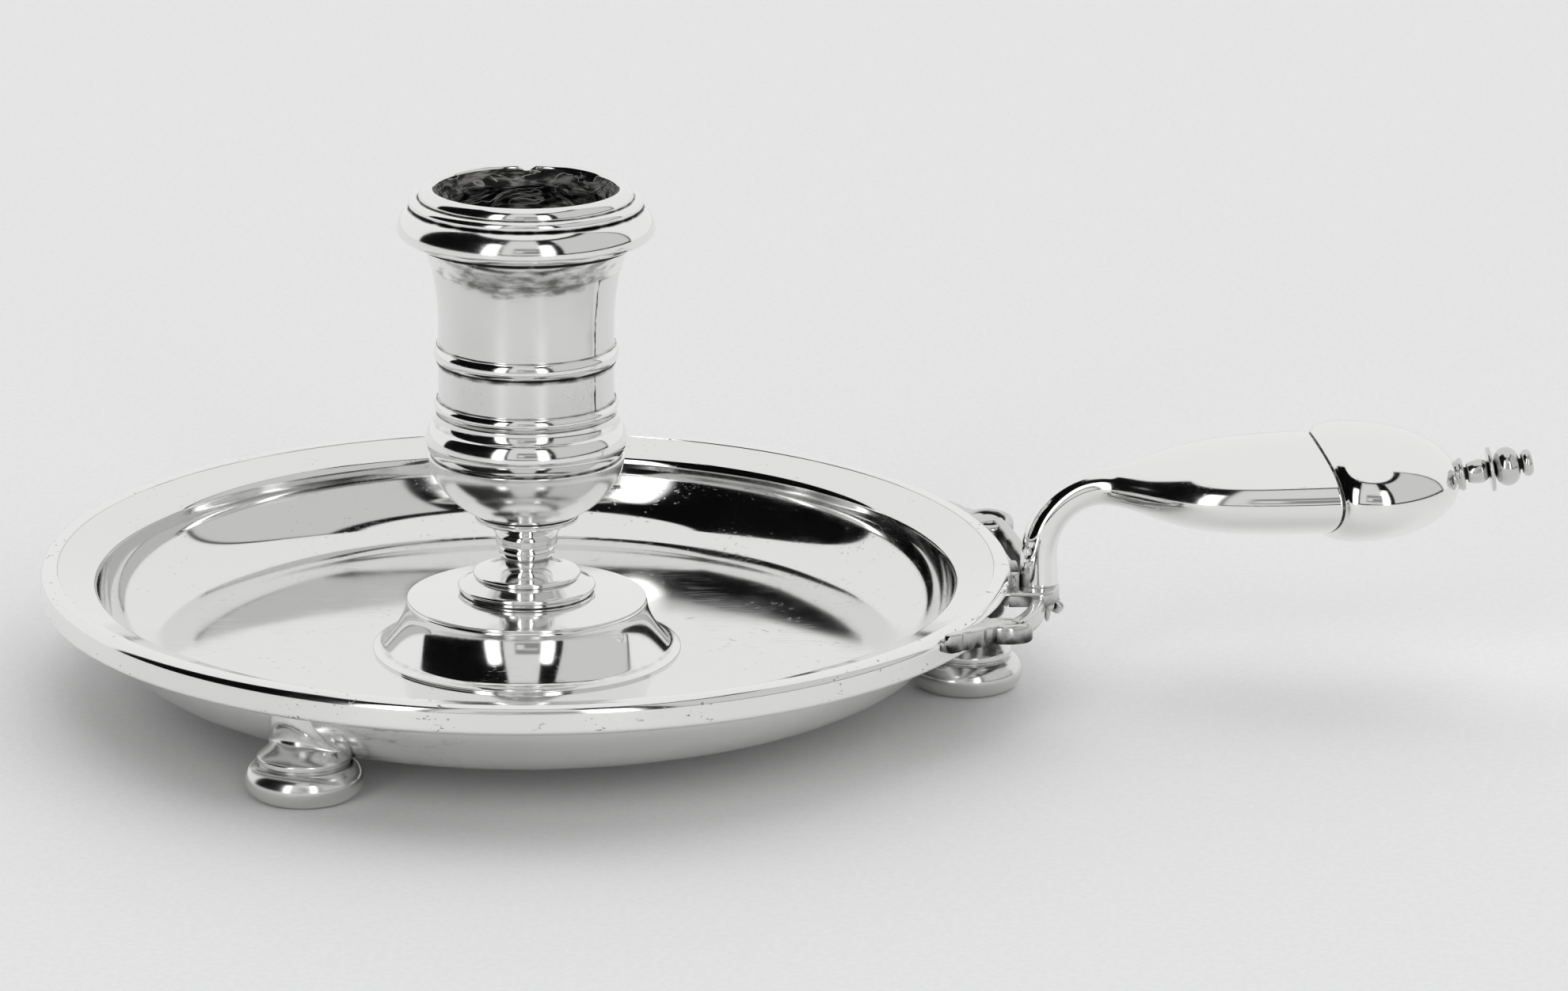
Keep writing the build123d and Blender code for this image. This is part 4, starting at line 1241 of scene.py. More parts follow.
# ---- handle ----
def through(places: np.ndarray, values: np.ndarray, at: np.ndarray) -> np.ndarray:
    """A smooth curve through given values, which never overshoots them.

    Cubic pieces whose slopes are the harmonic mean of the neighbouring chords' slopes, or nought
    at the ends and where the chords turn back.

    Args:
        places: where the values are given, rising.
        values: the values.
        at: where to read the curve.

    Returns:
        The curve's values.
    """
    gap = np.diff(places)
    chord = np.diff(values) / gap
    slope = np.zeros(len(values))
    same = chord[:-1] * chord[1:] > 0
    mean = 2 * chord[:-1] * chord[1:] / np.where(same, chord[:-1] + chord[1:], 1)
    slope[1:-1] = np.where(same, mean, 0)
    k = np.clip(np.searchsorted(places, at, side="right") - 1, 0, len(gap) - 1)
    h, t = gap[k], (at - places[k]) / gap[k]
    return ((1 + 2 * t) * (1 - t) ** 2 * values[k] + t * (1 - t) ** 2 * h * slope[k]
            + t * t * (3 - 2 * t) * values[k + 1] + t * t * (t - 1) * h * slope[k + 1])


def swept(line: np.ndarray, width: np.ndarray, depth: np.ndarray) -> np.ndarray:
    """Sweeps an oval along a line in the handle's upright plane.

    Each row is line + width * cos v across the plane + depth * sin v square to the line.

    Args:
        line: the points (x, z) of the line.
        width: half width, across the upright plane, at each point.
        depth: half depth, in the upright plane, at each point.

    Returns:
        Rows of points.
    """
    tangent = np.gradient(line, axis=0)
    tangent /= np.linalg.norm(tangent, axis=1, keepdims=True)
    c, s = oval(TURNS)
    deep = depth[:, None] * s
    return grid(line[:, 0, None] - deep * tangent[:, 1, None], width[:, None] * c,
                line[:, 1, None] + deep * tangent[:, 0, None])


@dataclass
class Handle:
    """The hollow handle: round neck and arch, widening body, joint line, domed cap, finial."""

    reach: float = NECK_REACH
    foot: float = NECK_FOOT
    rise: float = 4.0
    arch: float = 9.4
    neck: float = 2.4
    run: float = 28.0
    climb: float = 0.75
    end_tilt: float = 2.5
    half_width: float = 12.6
    half_depth: float = 6.2
    joint: float = 0.6
    joint_sunk: float = 0.35
    cap_length: float = 17.6
    cap_climb: float = 1.0
    cap_tilt: float = 11.0
    cap_width: float = 13.7
    cap_depth: float = 7.45
    crown: float = 0.22
    edge: float = 0.16
    seam_shift: float = -1.46
    seam_skew: float = 0.088
    seam_bow: float = 0.142
    seam_reach: float = 9.0
    seam_close: float = 0.14
    blend: float = 2.3
    # How the half width and half depth grow along the body, as shares from the neck's to the body's
    places: tuple[float, ...] = (0.0, 0.09, 0.19, 0.37, 0.57, 0.78, 1.0)
    wide: tuple[float, ...] = (0.0, 0.20, 0.49, 0.79, 0.93, 0.985, 1.0)
    deep: tuple[float, ...] = (0.0, 0.11, 0.40, 0.74, 0.91, 0.975, 1.0)
    # Points along the neck's rise, the arch and the body, and along the whole once it is softened
    counts: tuple[int, int, int] = (40, 140, 300)
    even_count: int = 250
    foot_swell: float = 0.35
    arch_slimmer: float = 0.22

    @property
    def direction(self) -> np.ndarray:
        """The way the body runs where it ends."""
        return slant(self.end_tilt)

    @property
    def arch_top(self) -> np.ndarray:
        """Where the arch ends and the body begins."""
        return np.array([self.reach + self.arch, self.foot + self.rise + self.arch])

    @property
    def body_end(self) -> np.ndarray:
        """Where the body meets the joint."""
        return self.arch_top + np.array([self.run, self.climb])

    @property
    def cap_foot(self) -> np.ndarray:
        """Where the joint meets the cap."""
        return self.body_end + self.direction * self.joint

    def cap_line(self, share: np.ndarray) -> np.ndarray:
        """The cap's middle line, read at shares of its length."""
        end = self.cap_foot + np.array([self.cap_length, self.cap_climb])
        return self.ease_line(self.cap_foot, end, (self.end_tilt, self.cap_tilt), share)

    def ease_line(self, start: np.ndarray, end: np.ndarray, tilts: tuple[float, float],
                  share: np.ndarray) -> np.ndarray:
        """A cubic between two points that leaves and arrives at given tilts.

        Args:
            start: where it starts.
            end: where it ends.
            tilts: its tilts at the start and at the end, in degrees.
            share: where to read it, from nought to one.

        Returns:
            The curve's points.
        """
        pull = np.linalg.norm(end - start)
        return cubic(start, end, slant(tilts[0]) * pull, slant(tilts[1]) * pull, share)

    def skewed(self, rows: np.ndarray) -> np.ndarray:
        """The joint was filed by hand: its crown lies nearer the pan and its near side further out.

        x moves by shift - skew * y + bow * y squared over the half width, times a bell curve along
        the handle.

        Args:
            rows: a piece's points, which are moved.

        Returns:
            The same points.
        """
        joint = self.body_end[0] + self.joint / 2
        y = rows[..., 1]
        off = self.seam_shift - self.seam_skew * y + self.seam_bow * y**2 / self.half_width
        rows[..., 0] += off * np.exp(-((rows[..., 0] - joint) / self.seam_reach) ** 2)
        return rows

    def ended(self, line: np.ndarray, sizes: list[np.ndarray], round_off: list[np.ndarray]) -> Skin:
        """A swept piece whose last few rows round its edge over and lie in the joint's dark groove.

        Args:
            line: the middle line, with the rows of the rounded edge last.
            sizes: half width and half depth along it.
            round_off: the half width and half depth of the rounded edge.

        Returns:
            The skin.
        """
        width, depth = (np.concatenate(pair) for pair in zip(sizes, round_off))
        groove = np.zeros(len(line))
        groove[-4:] = 0.4
        return Skin(self.skewed(swept(line, width, depth)), marks={Mark.GROOVE_AND_SHADE: groove})

    def neck_and_body(self) -> Skin:
        """The neck's straight rise, the arch's quarter circle, and the widening body.

        Width and depth go from the neck's to the body's along smooth curves. The neck swells at its
        foot and is slimmer over the arch, and the far end is rounded over by a small quarter circle.

        Returns:
            The skin.
        """
        up, round_, along = self.counts
        thin = up + round_
        straight = grid(self.reach, self.foot + np.linspace(0, self.rise, up, endpoint=False), 0)[:, :2]
        bend = np.linspace(0, QUARTER, round_, endpoint=False)
        quarter = np.stack([self.reach + self.arch * (1 - np.cos(bend)),
                            self.foot + self.rise + self.arch * np.sin(bend)], axis=1)
        share = np.linspace(0, 1, along)
        body = self.ease_line(self.arch_top, self.body_end, (0.0, self.end_tilt), share)
        line = np.concatenate([straight, quarter, body])
        swell = self.foot_swell * np.exp(-((line[:thin, 1] - self.foot) / 1.1) ** 2)
        swell *= line[:thin, 0] < self.reach + 1
        slim = self.arch_slimmer * np.sin(np.clip(np.linspace(-0.6, 1, thin), 0, 1) * np.pi)
        run = run_along(line)
        even = np.linspace(0, run[-1], self.even_count)
        line = read(line, run, even)
        sizes = []
        for full, growth in ((self.half_width, self.wide), (self.half_depth, self.deep)):
            grown = self.neck + (full - self.neck) * through(np.array(self.places), np.array(growth), share)
            size = np.interp(even, run, np.concatenate([self.neck + (swell - slim), grown]))
            sizes.append(softened(size, self.blend / even[1], int(4 * self.blend / even[1])))
        turn = np.linspace(0, QUARTER, 7)[1:]
        way = unit(line[-1] - line[-2])
        end = self.body_end + way * (self.seam_close - self.edge)
        keep = np.linalg.norm(line - line[-1], axis=1) > self.edge
        edge = [size[-1] - self.edge * (1 - np.cos(turn)) for size in sizes]
        line = np.concatenate([line[keep], end + way * self.edge * np.sin(turn)[:, None]])
        return self.ended(line, [size[keep] for size in sizes], edge)

    def joint_line(self) -> Skin:
        """The solder between body and cap, a little below their surface.

        Returns:
            The skin.
        """
        overlap, sunk, count = 0.12, self.joint_sunk + 0.06, 8
        along = np.linspace(-overlap, self.joint + overlap, count)
        line = self.body_end + along[:, None] * self.direction
        return Skin(self.skewed(swept(line, np.full(count, self.half_width - sunk),
                                      np.full(count, self.half_depth - sunk))))

    def cap(self) -> Skin:
        """The cap: it swells on a quarter circle to its crown, then falls on a quarter oval.

        Returns:
            The skin.
        """
        tip = 0.992
        share = np.concatenate([self.crown * (1 - np.cos(np.linspace(0, QUARTER, 50, endpoint=False))),
                                self.crown + (tip - self.crown) * np.sin(np.linspace(0, QUARTER, 110))])
        line = self.cap_line(share)
        rising = np.clip(share / self.crown, 0, 1)
        falling = np.clip((share - self.crown) / (1 - self.crown), 0, 1)
        swell, fall = np.sqrt(1 - (1 - rising) ** 2), np.sqrt(1 - falling**2)
        after = np.linalg.norm(line - self.cap_foot, axis=1) > self.edge
        turn = np.linspace(0, QUARTER, 7)[:-1]
        inset = self.edge * (1 - np.sin(turn))
        rim = self.cap_foot + self.direction * (self.edge * (1 - np.cos(turn)) - self.seam_close)[:, None]
        sizes = ((self.half_width, self.cap_width), (self.half_depth, self.cap_depth))
        width, depth = (np.concatenate([foot - inset, ((foot + (full - foot) * swell) * fall)[after]])
                        for foot, full in sizes)
        line = np.concatenate([rim, line[after]])
        groove = np.zeros(len(line))
        groove[:4] = 0.4
        return Skin(self.skewed(swept(line, width, depth)), marks={Mark.GROOVE_AND_SHADE: groove})

    def finial(self) -> Profile:
        """The finial along its own axis: collar, waist, vase, flange, ball and button.

        Returns:
            The outline, worn.
        """
        outline = Outline(0, -0.6)
        outline.line((1.7, -0.6), (2.05, 0)).arc((2.22, 0.35), (2.05, 0.7))
        outline.line((0.85, 0.7), (0.85, 1.2), (1.25, 1.2))
        outline.ease((1.6, 3.1), (0.5, 1), (0, 1)).ease((0.85, 4.1), (-0.2, 1), (-0.9, 0.5))
        outline.line((2.9, 4.1)).arc((3.0, 4.35), (2.9, 4.6)).line((0.85, 4.6), (0.85, 4.85))
        outline.arc((2.6, 6.5), (0.75, 8.15)).line((0.75, 8.6))
        outline.arc((1.8, 9.16), (0.6, 9.72)).line((0, 9.74))
        return outline.worn(0.05, 200, reach=0.75)

    def dress(self, metal: bpy.types.Material, solder: bpy.types.Material, cast: bpy.types.Material) -> None:
        """Builds the handle's four pieces; the cloth doesn't reach the finial's necks.

        Args:
            metal: the finish of the hollow pieces.
            solder: the joint line's finish.
            cast: the finial's finish.
        """
        lay("handle_shell", self.neck_and_body(), metal, "handle_silver", "handle_body")
        lay("handle_solder_line", self.joint_line(), solder, "solder", "joint_ring")
        lay("handle_dome", self.cap(), metal, "handle_silver", "handle_cap")
        before, tip = self.cap_line(np.array([0.985, 0.992]))
        way = unit(tip - before)
        profile = self.finial()
        rows = turned(profile, (tip[0], 0, tip[1]), (way[0], 0, way[1]), 128)
        necks = np.clip((1.5 - profile.points[:, 0]) / 0.55, 0, 1) * (profile.points[:, 1] < 8.9)
        marks = {Mark.GROOVE_AND_SHADE: np.maximum(profile.groove, 0.85 * necks)}
        lay("handle_finial", Skin(rows, marks=marks), cast, "cast_silver", "finial")


# ---- bracket ----
@dataclass
class Bracket:
    """The cast bracket: shield with riser, leaf with drop, and a scroll at each side."""

    band: float = 64.3
    reach: float = NECK_REACH
    rim_line: float = RIM_LINE
    neck_foot: float = NECK_FOOT
    thickness: float = 2.0
    half_width: float = 5.0
    front: float = 2.8
    leaf_tilt: float = 32.0
    leaf_length: float = 3.9
    leaf_thickness: float = 1.2
    leaf_spread: float = 124.0
    lobes: int = 5
    lobe_half_width: float = 1.0
    drop_length: float = 3.4
    tilt: float = 8.0
    scroll_drop: float = 3.7
    scroll_thickness: float = 2.6
    strip_gap: float = 2.6
    strip_width: float = 2.0
    volute_turn: float = 21.0
    volute_reach: float = 66.9
    volute_radius: float = 3.5
    eye: float = 1.75
    tail_root: float = 3.4
    tail_tip: float = 0.9
    tail_turn: float = 33.0
    far_lift: float = 2.7
    riser_half_width: float = 3.4
    strip_start: float = 3.2
    # Scoops in the tail's face: turn in degrees, standoff of their middle from the band, radius
    scoops: tuple[tuple[float, float, float], ...] = ((26.2, 4.0, 1.9), (30.2, 3.4, 2.2))

    def slab(self, edge: np.ndarray, middle: np.ndarray, low: float, high: float, round_off: float) -> Skin:
        """A flat casting: rays from its middle to its edge, with its rim rounded by a quarter circle.

        Args:
            edge: the outline's points, in order, as (x, y).
            middle: a point that sees the whole outline.
            low: the lower face's height.
            high: the upper face's height.
            round_off: the radius of the rounded rim.

        Returns:
            The skin, with its faces level, and painted shade: its groove mark darkens the rim towards the
            lower face.
        """
        out = edge - middle
        size = np.linalg.norm(out, axis=1, keepdims=True)
        turn = np.linspace(0, np.pi / 2, 9)
        rise, level = round_off * (1 - np.cos(turn)), round_off * (1 - np.sin(turn))
        inset = np.concatenate([[4 * round_off], level, rise, [4 * round_off]])
        height = np.concatenate([[low], low + rise, high - level, [high]])
        shrink = np.clip(1 - inset[:, None, None] / size[None], 0.02, 1)
        flat = middle + out[None] * shrink
        rows = grid(flat[..., 0], flat[..., 1], height[:, None])
        # Painted shade: the rim darkens towards the lower face
        return Skin(rows, marks={Mark.GROOVE_AND_SHADE: 0.50 * np.clip((high - height) / (high - low), 0, 1)})

    def shield(self) -> Skin:
        """The plate under the neck: straight sides, a bowed front, and a back against the band.

        Returns:
            The skin.
        """
        w = self.half_width
        bow = np.linspace(-1, 1, 90)
        bulge = np.sqrt(np.clip(1 - bow**2, 0, 1)) ** 0.9
        front = np.stack([self.reach + self.front * bulge, w * bow], axis=1)
        back = np.linspace(1, -1, 60)
        rear = np.stack([np.sqrt((self.band - 0.25) ** 2 - (w * back) ** 2), w * back], axis=1)
        sides = [np.stack([np.linspace(a, b, 20), np.full(20, y)], axis=1)[1:-1]
                 for a, b, y in ((self.reach, rear[0, 0], w), (rear[-1, 0], self.reach, -w))]
        edge = np.concatenate([front, sides[0], rear, sides[1]])
        middle = np.array([self.reach - 0.6, 0])
        return self.slab(edge, middle, self.neck_foot - self.thickness, self.neck_foot, 0.45)

    def riser(self) -> Skin:
        """The block that joins the plate to the band, below the rim line, with a hollowed top.

        Returns:
            The skin.
        """
        y = np.linspace(-self.riser_half_width, self.riser_half_width, 60)[:, None]
        hollow = np.exp(-(y / 1.5) ** 2)
        top, low = self.neck_foot + 2.2 - 0.8 * hollow, self.neck_foot - 0.3
        c, s = oval(40, 0.35)
        shut = np.clip((self.riser_half_width - np.abs(y)) / 0.5, 0, 1) ** 0.5
        rows = grid(np.sqrt(self.band**2 - y**2) + 0.45 + 0.65 * shut * c, y,
                    (top + low) / 2 + (top - low) / 2 * (0.9 + 0.1 * shut) * s)
        # Painted shade: the whole block is darkened a little, and most in its hollowed top, for the shaded
        # gap between neck and band
        return Skin(rows, marks={Mark.GROOVE_AND_SHADE: (0.45 * hollow + 0.20)[:, 0]})

    def leaf(self) -> Skin:
        """The leaf: lobes spread in a fan, each a ridge, on a plane that slopes down and out.

        In the leaf's plane an oval lobe at angle d from its own axis reaches (2 cos d / a) divided by
        (cos^2 d / a^2 + sin^2 d / b^2); the edge is the farthest of the lobes, and the upper face rises
        on each lobe as the cosine of its own angle.

        Returns:
            The skin.
        """
        a, b = self.leaf_length / 2, self.lobe_half_width
        tilt, spread = math.radians(self.leaf_tilt), math.radians(self.leaf_spread)
        axes = np.linspace(-spread / 2, spread / 2, self.lobes)
        phi = np.linspace(0, 2 * np.pi, 300, endpoint=False)
        off = (phi[:, None] - axes + np.pi) % (2 * np.pi) - np.pi
        c, s = np.clip(np.cos(off), 0, None), np.sin(off)
        reach = np.maximum(np.max(2 * c / a / (c**2 / a**2 + s**2 / b**2), axis=1), 0.9)
        pitch = spread / (self.lobes - 1)
        ridge = np.cos(np.clip(np.min(np.abs(off), axis=1) / pitch, 0, 0.5) * np.pi) ** 1.4
        share = np.concatenate([np.linspace(0.12, 0.8, 14),
                                0.8 + 0.2 * np.sin(np.linspace(0, QUARTER, 10)[1:])])[:, None]
        rim = np.sqrt(np.clip(1 - ((share - 0.8) / 0.2).clip(0, 1) ** 2, 0, 1))
        crest = 0.30 * ridge * np.minimum(share / 0.5, 1)
        upper = (crest - 0.12) * rim - 0.4 * self.leaf_thickness * (1 - rim)
        lower = np.broadcast_to(-self.leaf_thickness + 0.35 * (1 - rim), upper.shape)
        out, across, lift = (np.concatenate([top, under[::-1][1:]]) for top, under in (
            (share * reach * np.cos(phi),) * 2, (share * reach * np.sin(phi),) * 2, (upper, lower)))
        rows = grid(self.reach + 0.35 + out * math.cos(tilt) + lift * math.sin(tilt), across,
                    self.rim_line - 4.2 - out * math.sin(tilt) + lift * math.cos(tilt))
        # The valleys hold tarnish; the even 0.3 on the underside is painted shade
        valleys = np.broadcast_to(0.9 * (1 - ridge) ** 1.2, upper.shape)
        groove = np.concatenate([valleys, np.full_like(lower[1:], 0.3)])
        return Skin(rows, marks={Mark.GROOVE_AND_SHADE: groove})

    def drop(self) -> Skin:
        """The drop under the leaf: an oval cone with a rounded tip.

        Returns:
            The skin.
        """
        t = np.linspace(0, 1, 40)[:, None]
        size = (1 - 0.72 * t) * np.sqrt(np.clip(1 - np.clip((t - 0.86) / 0.14, 0, 1) ** 2, 0.0004, 1))
        c, s = oval(64)
        sunk = 0.4
        return Skin(grid(self.reach + 1.25 + 0.95 * size * c, 1.5 * size * s,
                         self.neck_foot - self.thickness + sunk - (self.drop_length + sunk) * t))

    def lean(self, reach: np.ndarray, turn: np.ndarray, depth: np.ndarray, side: int) -> np.ndarray:
        """Points on the scroll's leaning plane, which climbs away from the handle's own plane.

        The far scroll's plane levels off, so that its tail stays behind the rim, as in the photograph.

        Args:
            reach: how far from the candle's axis.
            turn: how far round from the handle, in degrees.
            depth: how far below the scroll's top.
            side: 1 for the far scroll, -1 for the near one.

        Returns:
            The points.
        """
        along, across = reach * np.cos(np.radians(turn)), reach * np.sin(np.radians(turn))
        lift = (across - self.half_width) * math.tan(math.radians(self.tilt))
        if side > 0:
            lift = np.minimum(lift, self.far_lift)
        return grid(along, side * across, self.rim_line - self.scroll_drop + lift - depth)

    def strip(self, side: int) -> Skin:
        """The scroll's strip: a soft-cornered bar along an arc that follows the band at a gap.

        Args:
            side: 1 for the far scroll, -1 for the near one.

        Returns:
            The skin.
        """
        turn = np.linspace(self.strip_start, self.volute_turn - 0.5, 90)
        c, s = oval(72, 0.45)
        half = self.strip_width / 2
        reach = self.band + self.strip_gap + half + half * c
        rows = self.lean(reach, turn[:, None], self.scroll_thickness / 2 * (1 - s), side)
        # Painted shade: darker on the side that faces the band across the gap, and on the underside
        painted_shade = 0.7 * np.clip(-c, 0, 1) ** 2 + 0.4 * np.clip(-s, 0, 1)
        return Skin(rows, marks={Mark.GROOVE_AND_SHADE: np.broadcast_to(painted_shade, rows.shape[:2])})

    def volute(self, side: int) -> Skin:
        """The volute: a round boss whose rim rolls over, a sunk ring round it, and a domed eye.

        Args:
            side: 1 for the far scroll, -1 for the near one.

        Returns:
            The skin.
        """
        r, t = self.volute_radius, self.scroll_thickness
        outline = Outline(0, 0.0).arc((self.eye * 0.7, -0.10), (self.eye, -0.35))
        outline.line((self.eye + 0.1, -0.55), (self.eye + 0.45, -0.42))
        outline.arc((r - 0.75, -0.02), (r, -0.7)).line((r, 0.3 - t, 0.3), (r - 0.3, -t), (0, -t))
        profile = outline.worn(0.07, 110)
        lean = math.radians(self.tilt)
        centre = self.lean(np.array(self.volute_reach), np.array(self.volute_turn), np.array(0.0), side)
        rows = turned(profile, tuple(centre), (0, -side * math.sin(lean), math.cos(lean)), 128)
        radius, height = profile.points.T
        channel = 1.2 * np.exp(-((radius - self.eye - 0.2) / 0.42) ** 2) * (height > -1)
        # Painted shade: darker down the boss's side towards its foot; the channel is tarnish in the sunk ring
        shade = 0.55 * np.clip(-height / t, 0, 1) ** 0.7
        groove = np.maximum(profile.groove, np.maximum(channel, shade))
        return Skin(rows, marks={Mark.GROOVE_AND_SHADE: groove})

    def tail(self, side: int) -> Skin:
        """The tail: a bar that narrows along the band, with two coves scooped from its face.

        Its face is the straight taper, or the near arc of a scoop where that bites deeper.

        Args:
            side: 1 for the far scroll, -1 for the near one.

        Returns:
            The skin.
        """
        turn = np.linspace(self.volute_turn - 1, self.tail_turn, 200)
        share = (turn - self.volute_turn) / (self.tail_turn - self.volute_turn)
        face = self.band + self.tail_root + (self.tail_tip - self.tail_root) * share
        for at, standoff, radius in self.scoops:
            middle = self.band + standoff
            off = np.radians(turn - at) * middle
            scoop = middle - np.sqrt(np.clip(radius**2 - off**2, 0, None))
            face = np.where(np.abs(off) < radius, np.minimum(face, scoop), face)
        face = softened(face, 1.6, 6)
        c, s = oval(80, 0.30)
        shut = np.sqrt(np.clip(1 - ((share - 0.94) / 0.06).clip(0, 1) ** 2, 0.01, 1))
        back = self.band - 0.2
        half = (face - back) / 2
        reach = (back + half)[:, None] + (half * shut)[:, None] * c
        rows = self.lean(reach, turn[:, None], self.scroll_thickness / 2 * (1 - s * shut[:, None]), side)
        # Painted shade: darker on the underside and towards the bottom of the outer face with its coves
        painted_shade = 0.4 * np.clip(-s, 0, 1) + 0.35 * np.clip(c, 0, 1) * np.clip(1 - s, 0, 1)
        return Skin(rows, marks={Mark.GROOVE_AND_SHADE: np.broadcast_to(painted_shade, rows.shape[:2])})

    def dress(self, cast: bpy.types.Material) -> None:
        """Builds the bracket's pieces.

        Args:
            cast: their finish.
        """
        for name, skin, stands_for in (("bracket_plate", self.shield(), "bracket_shield"),
                                       ("bracket_riser", self.riser(), "bracket_shield"),
                                       ("bracket_fan", self.leaf(), "bracket_leaf"),
                                       ("bracket_drop", self.drop(), "bracket_leaf")):
            lay(name, skin, cast, "cast_silver", stands_for)
        for side, word in ((1, "back"), (-1, "front")):
            for form, skin in (("strip", self.strip(side)), ("volute", self.volute(side)),
                               ("tail", self.tail(side))):
                lay(f"scroll_{form}_{word}", skin, cast, "cast_silver", f"scroll_{word}")


# ---- studio ----
@dataclass(frozen=True)
class Card:
    """A card or lamp round the object, as its middle direction, half sizes and soft edge in degrees.

    turn counts from the camera's side towards the handle, rise counts up from level, and level is
    its brightness, where one is white.
    """

    turn: float
    rise: float
    half_turn: float
    half_rise: float
    soft: float
    level: float


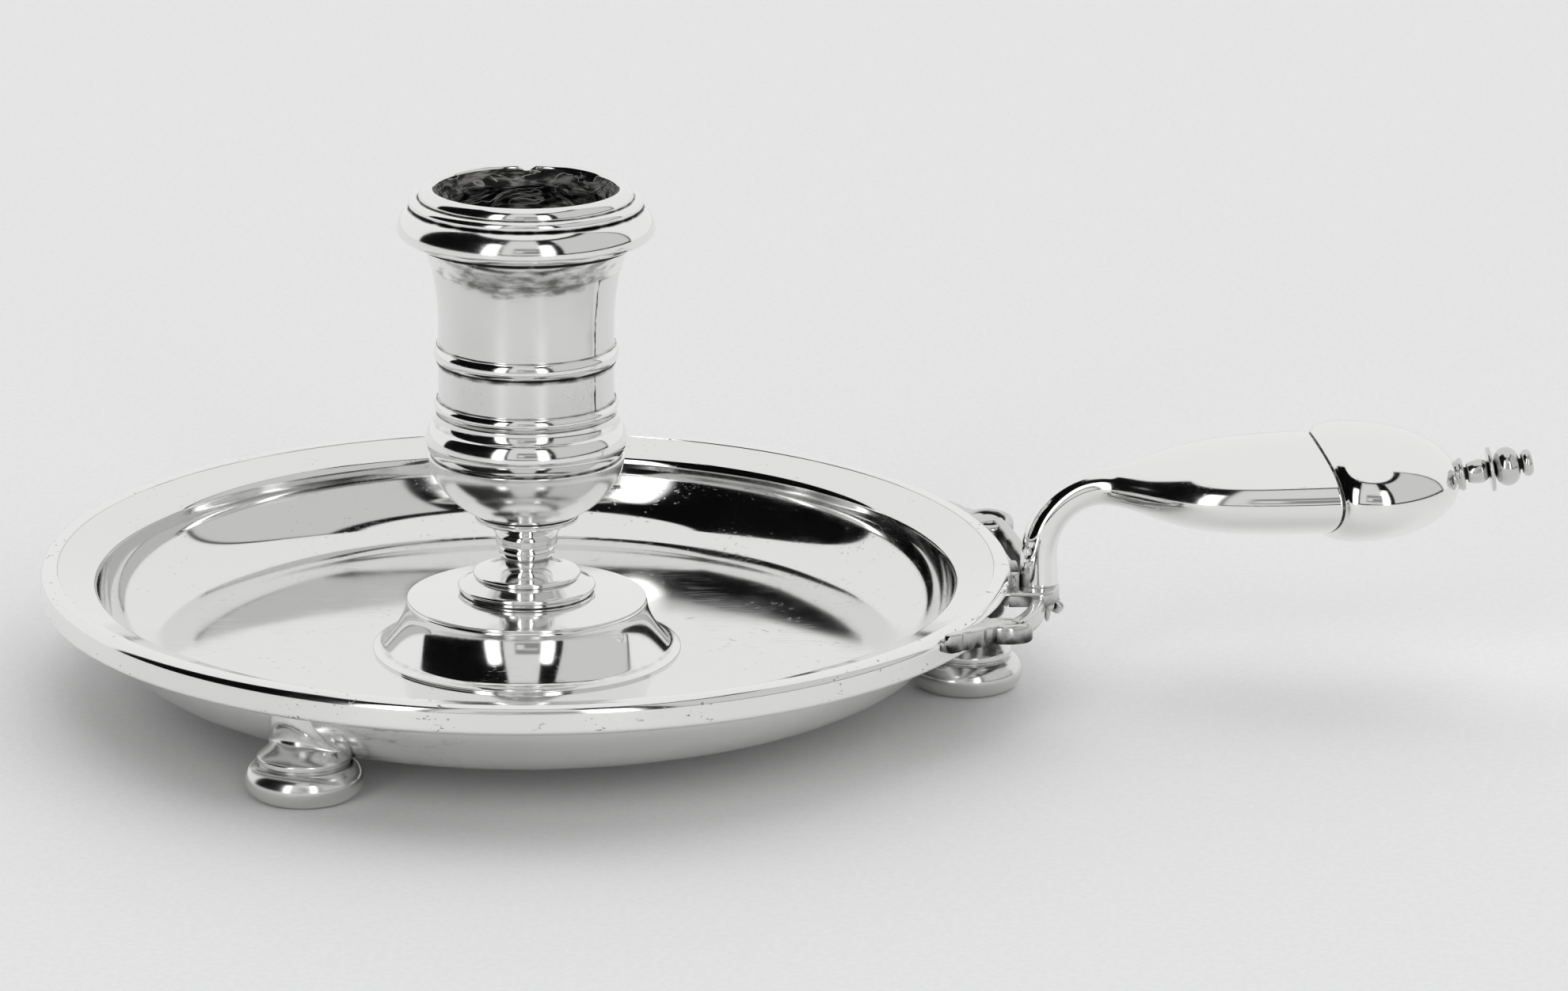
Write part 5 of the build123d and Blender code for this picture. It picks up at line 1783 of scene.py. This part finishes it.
@dataclass
class Studio:
    """Table, camera and the lit room that the silver mirrors; matt surfaces get it a little brighter."""

    table: float = TABLE
    table_reach: float = 4000.0
    table_depth: float = 20.0
    room: float = 0.87
    backdrop: float = 0.75
    on_the_table: float = 1.50
    eye: tuple[float, float, float] = (16.60, -835.36, 230.88)
    look: tuple[float, float, float] = (0.0201, 0.9605, -0.2777)
    roll: float = 0.525
    lens: float = 150.7
    sensor: float = 36.0
    cards: tuple[Card, ...] = (
        # The dark room, with the pale wall and the grey screen in it
        Card(0, 24, 107, 42, 0.8, 0.003),
        Card(-3, 33, 18, 30, 1.2, 0.70),
        Card(70, 32, 35, 28.5, 1.0, 0.62),
        # The camera's stand, and the small pale things beside it
        Card(2, 21, 12, 11, 1.5, 0.26),
        Card(5, 23, 6, 2.0, 0.8, 0.55),
        Card(-5, 19, 3.5, 5, 1.2, 0.70),
        # The two lamps
        Card(-31.5, 20, 5.5, 24, 4.0, 3.4),
        Card(21, 20, 4.8, 24, 3.6, 3.4),
    )

    def lay_table(self) -> None:
        """A round pale table, flat, far wider than any view."""
        under = self.table - self.table_depth
        points = np.array([(1.0, self.table), (self.table_reach, self.table), (self.table_reach, under),
                           (1.0, under)])
        rows = turned(Profile(points, np.zeros(len(points)), False), turns=96)
        stitched("table", Skin(rows), PaperTable().build())

    def light(self) -> None:
        """The room: an even pale level with cards and lamps laid over it by direction, one after another.

        turn and rise are each direction's own angles. Where both lie within a card's half sizes, the
        card's level replaces what lay there, with a soft edge.
        """
        world = bpy.data.worlds.new("studio")
        bpy.context.scene.world = world
        web = Web(world)
        x, y, z = web.add("SeparateXYZ", web.add("TexCoord")["Generated"])[:3]
        nearer = web.add("Math", y, -1.0, operation="MULTIPLY")[0]
        turn = web.add("Math", web.add("Math", x, nearer, operation="ARCTAN2")[0], operation="DEGREES")[0]
        rise = web.add("Math", web.add("Math", z, operation="ARCSINE")[0], operation="DEGREES")[0]
        level = self.room
        for card in self.cards:
            off = web.add("Math", turn, card.turn, operation="SUBTRACT")[0]
            off = web.add("Math", off, -180.0, 180.0, operation="WRAP")[0]
            above = web.add("Math", rise, card.rise, operation="SUBTRACT")[0]
            masks = []
            for away, half in ((off, card.half_turn), (above, card.half_rise)):
                away = web.add("Math", away, operation="ABSOLUTE")[0]
                edge = (half - card.soft, half + card.soft)
                masks.append(web.add("MapRange", away, *edge, 1.0, 0.0, **SOFT)[0])
            share = web.add("Math", *masks, operation="MULTIPLY")[0]
            level = web.add("Mix", {0: share, 2: level, 3: card.level}, data_type="FLOAT")[0]
        path = web.add("LightPath")
        extra = self.on_the_table - 1.0
        gain = web.add("Math", path["Is Diffuse Ray"], extra, 1.0, operation="MULTIPLY_ADD")[0]
        lit = web.add("Background", level, gain)[0]
        plain = web.add("Background", (self.backdrop,) * 3 + (1.0,), 1.0)[0]
        web.add("OutputWorld", web.add("MixShader", path["Is Camera Ray"], lit, plain)[0])

    def place_camera(self) -> None:
        """The camera, from its place, its look and its roll, all read off the pan's ellipses."""
        look = Vector(self.look).normalized()
        level = look.cross(Vector(UP)).normalized()
        rise = level.cross(look)
        c, s = math.cos(math.radians(self.roll)), math.sin(math.radians(self.roll))
        across, up = level * c + rise * s, rise * c - level * s
        data = bpy.data.cameras.new("camera")
        data.lens, data.sensor_width, data.clip_start, data.clip_end = self.lens, self.sensor, 0.02, 50.0
        camera = bpy.data.objects.new("camera", data)
        camera.matrix_world = Matrix.Translation(Vector(self.eye) * MM) @ Matrix(
            (across, up, -look)).transposed().to_4x4()
        bpy.context.collection.objects.link(camera)
        bpy.context.scene.camera = camera

    def build(self) -> None:
        """Sets the table, the light and the camera."""
        self.lay_table()
        self.light()
        self.place_camera()
        bpy.context.scene.view_settings.view_transform = "Standard"


def main() -> None:
    """Builds the studio and each sub-assembly in order."""
    logging.basicConfig(level=logging.INFO, format="%(name)s: %(message)s")
    Studio().build()
    pan = Pan()
    pan_silver = PolishedSilver("raised_silver_sheet", tone="#ececeb", wave_height=0.02, wave_size=16.0,
                                nicks=0.12)
    wire_silver = PolishedSilver("drawn_silver_wire", nicks=0.6, wave_height=0.03, wave_size=7.0,
                                 roughness=0.10)
    socket_silver = PolishedSilver("turned_silver", grain=Grain.TURNED, roughness=0.075, brushed=0.3)
    tube_silver = PolishedSilver("seamed_silver_tube", tone="#e6e6e5", grain=Grain.TURNED, roughness=0.17,
                                 brushed=0.7, seam_turn=math.radians(-38.3))
    # Its low thresholds darken the bracket's painted shade and the tarnish in the finial's necks
    cast_silver = PolishedSilver("cast_silver", tone="#d2d2d1", wave_height=0.03, wave_size=2.5,
                                 roughness=0.14, oxide_and_shade_start=0.08, oxide_and_shade_full=0.60)
    foot_silver = PolishedSilver("cast_and_turned_silver", tone="#e2e2e1", wave_height=0.02, wave_size=3.5,
                                 roughness=0.18)
    shell_silver = PolishedSilver("hollow_silver", wave_height=0.014, wave_size=12.0)
    pan.dress(pan_silver.build(), wire_silver.build())
    foot_finish, cast_finish = foot_silver.build(), cast_silver.build()
    for name, stands_for, reach, turn in (("bun_under_handle", "foot_under_handle", 58.6, 0.0),
                                          ("bun_back", "foot_back", 53.7, 120.5),
                                          ("bun_front", "foot_front", 53.7, -120.5)):
        BunFoot(name, stands_for, reach, math.radians(turn), pan).dress(foot_finish)
    Socket().dress(socket_silver.build(), tube_silver.build(), TarnishedBore("sooty_silver").build())
    Handle().dress(shell_silver.build(), DarkSolder("dark_solder").build(), cast_finish)
    Bracket().dress(cast_finish)


if __name__ == "__main__":
    main()
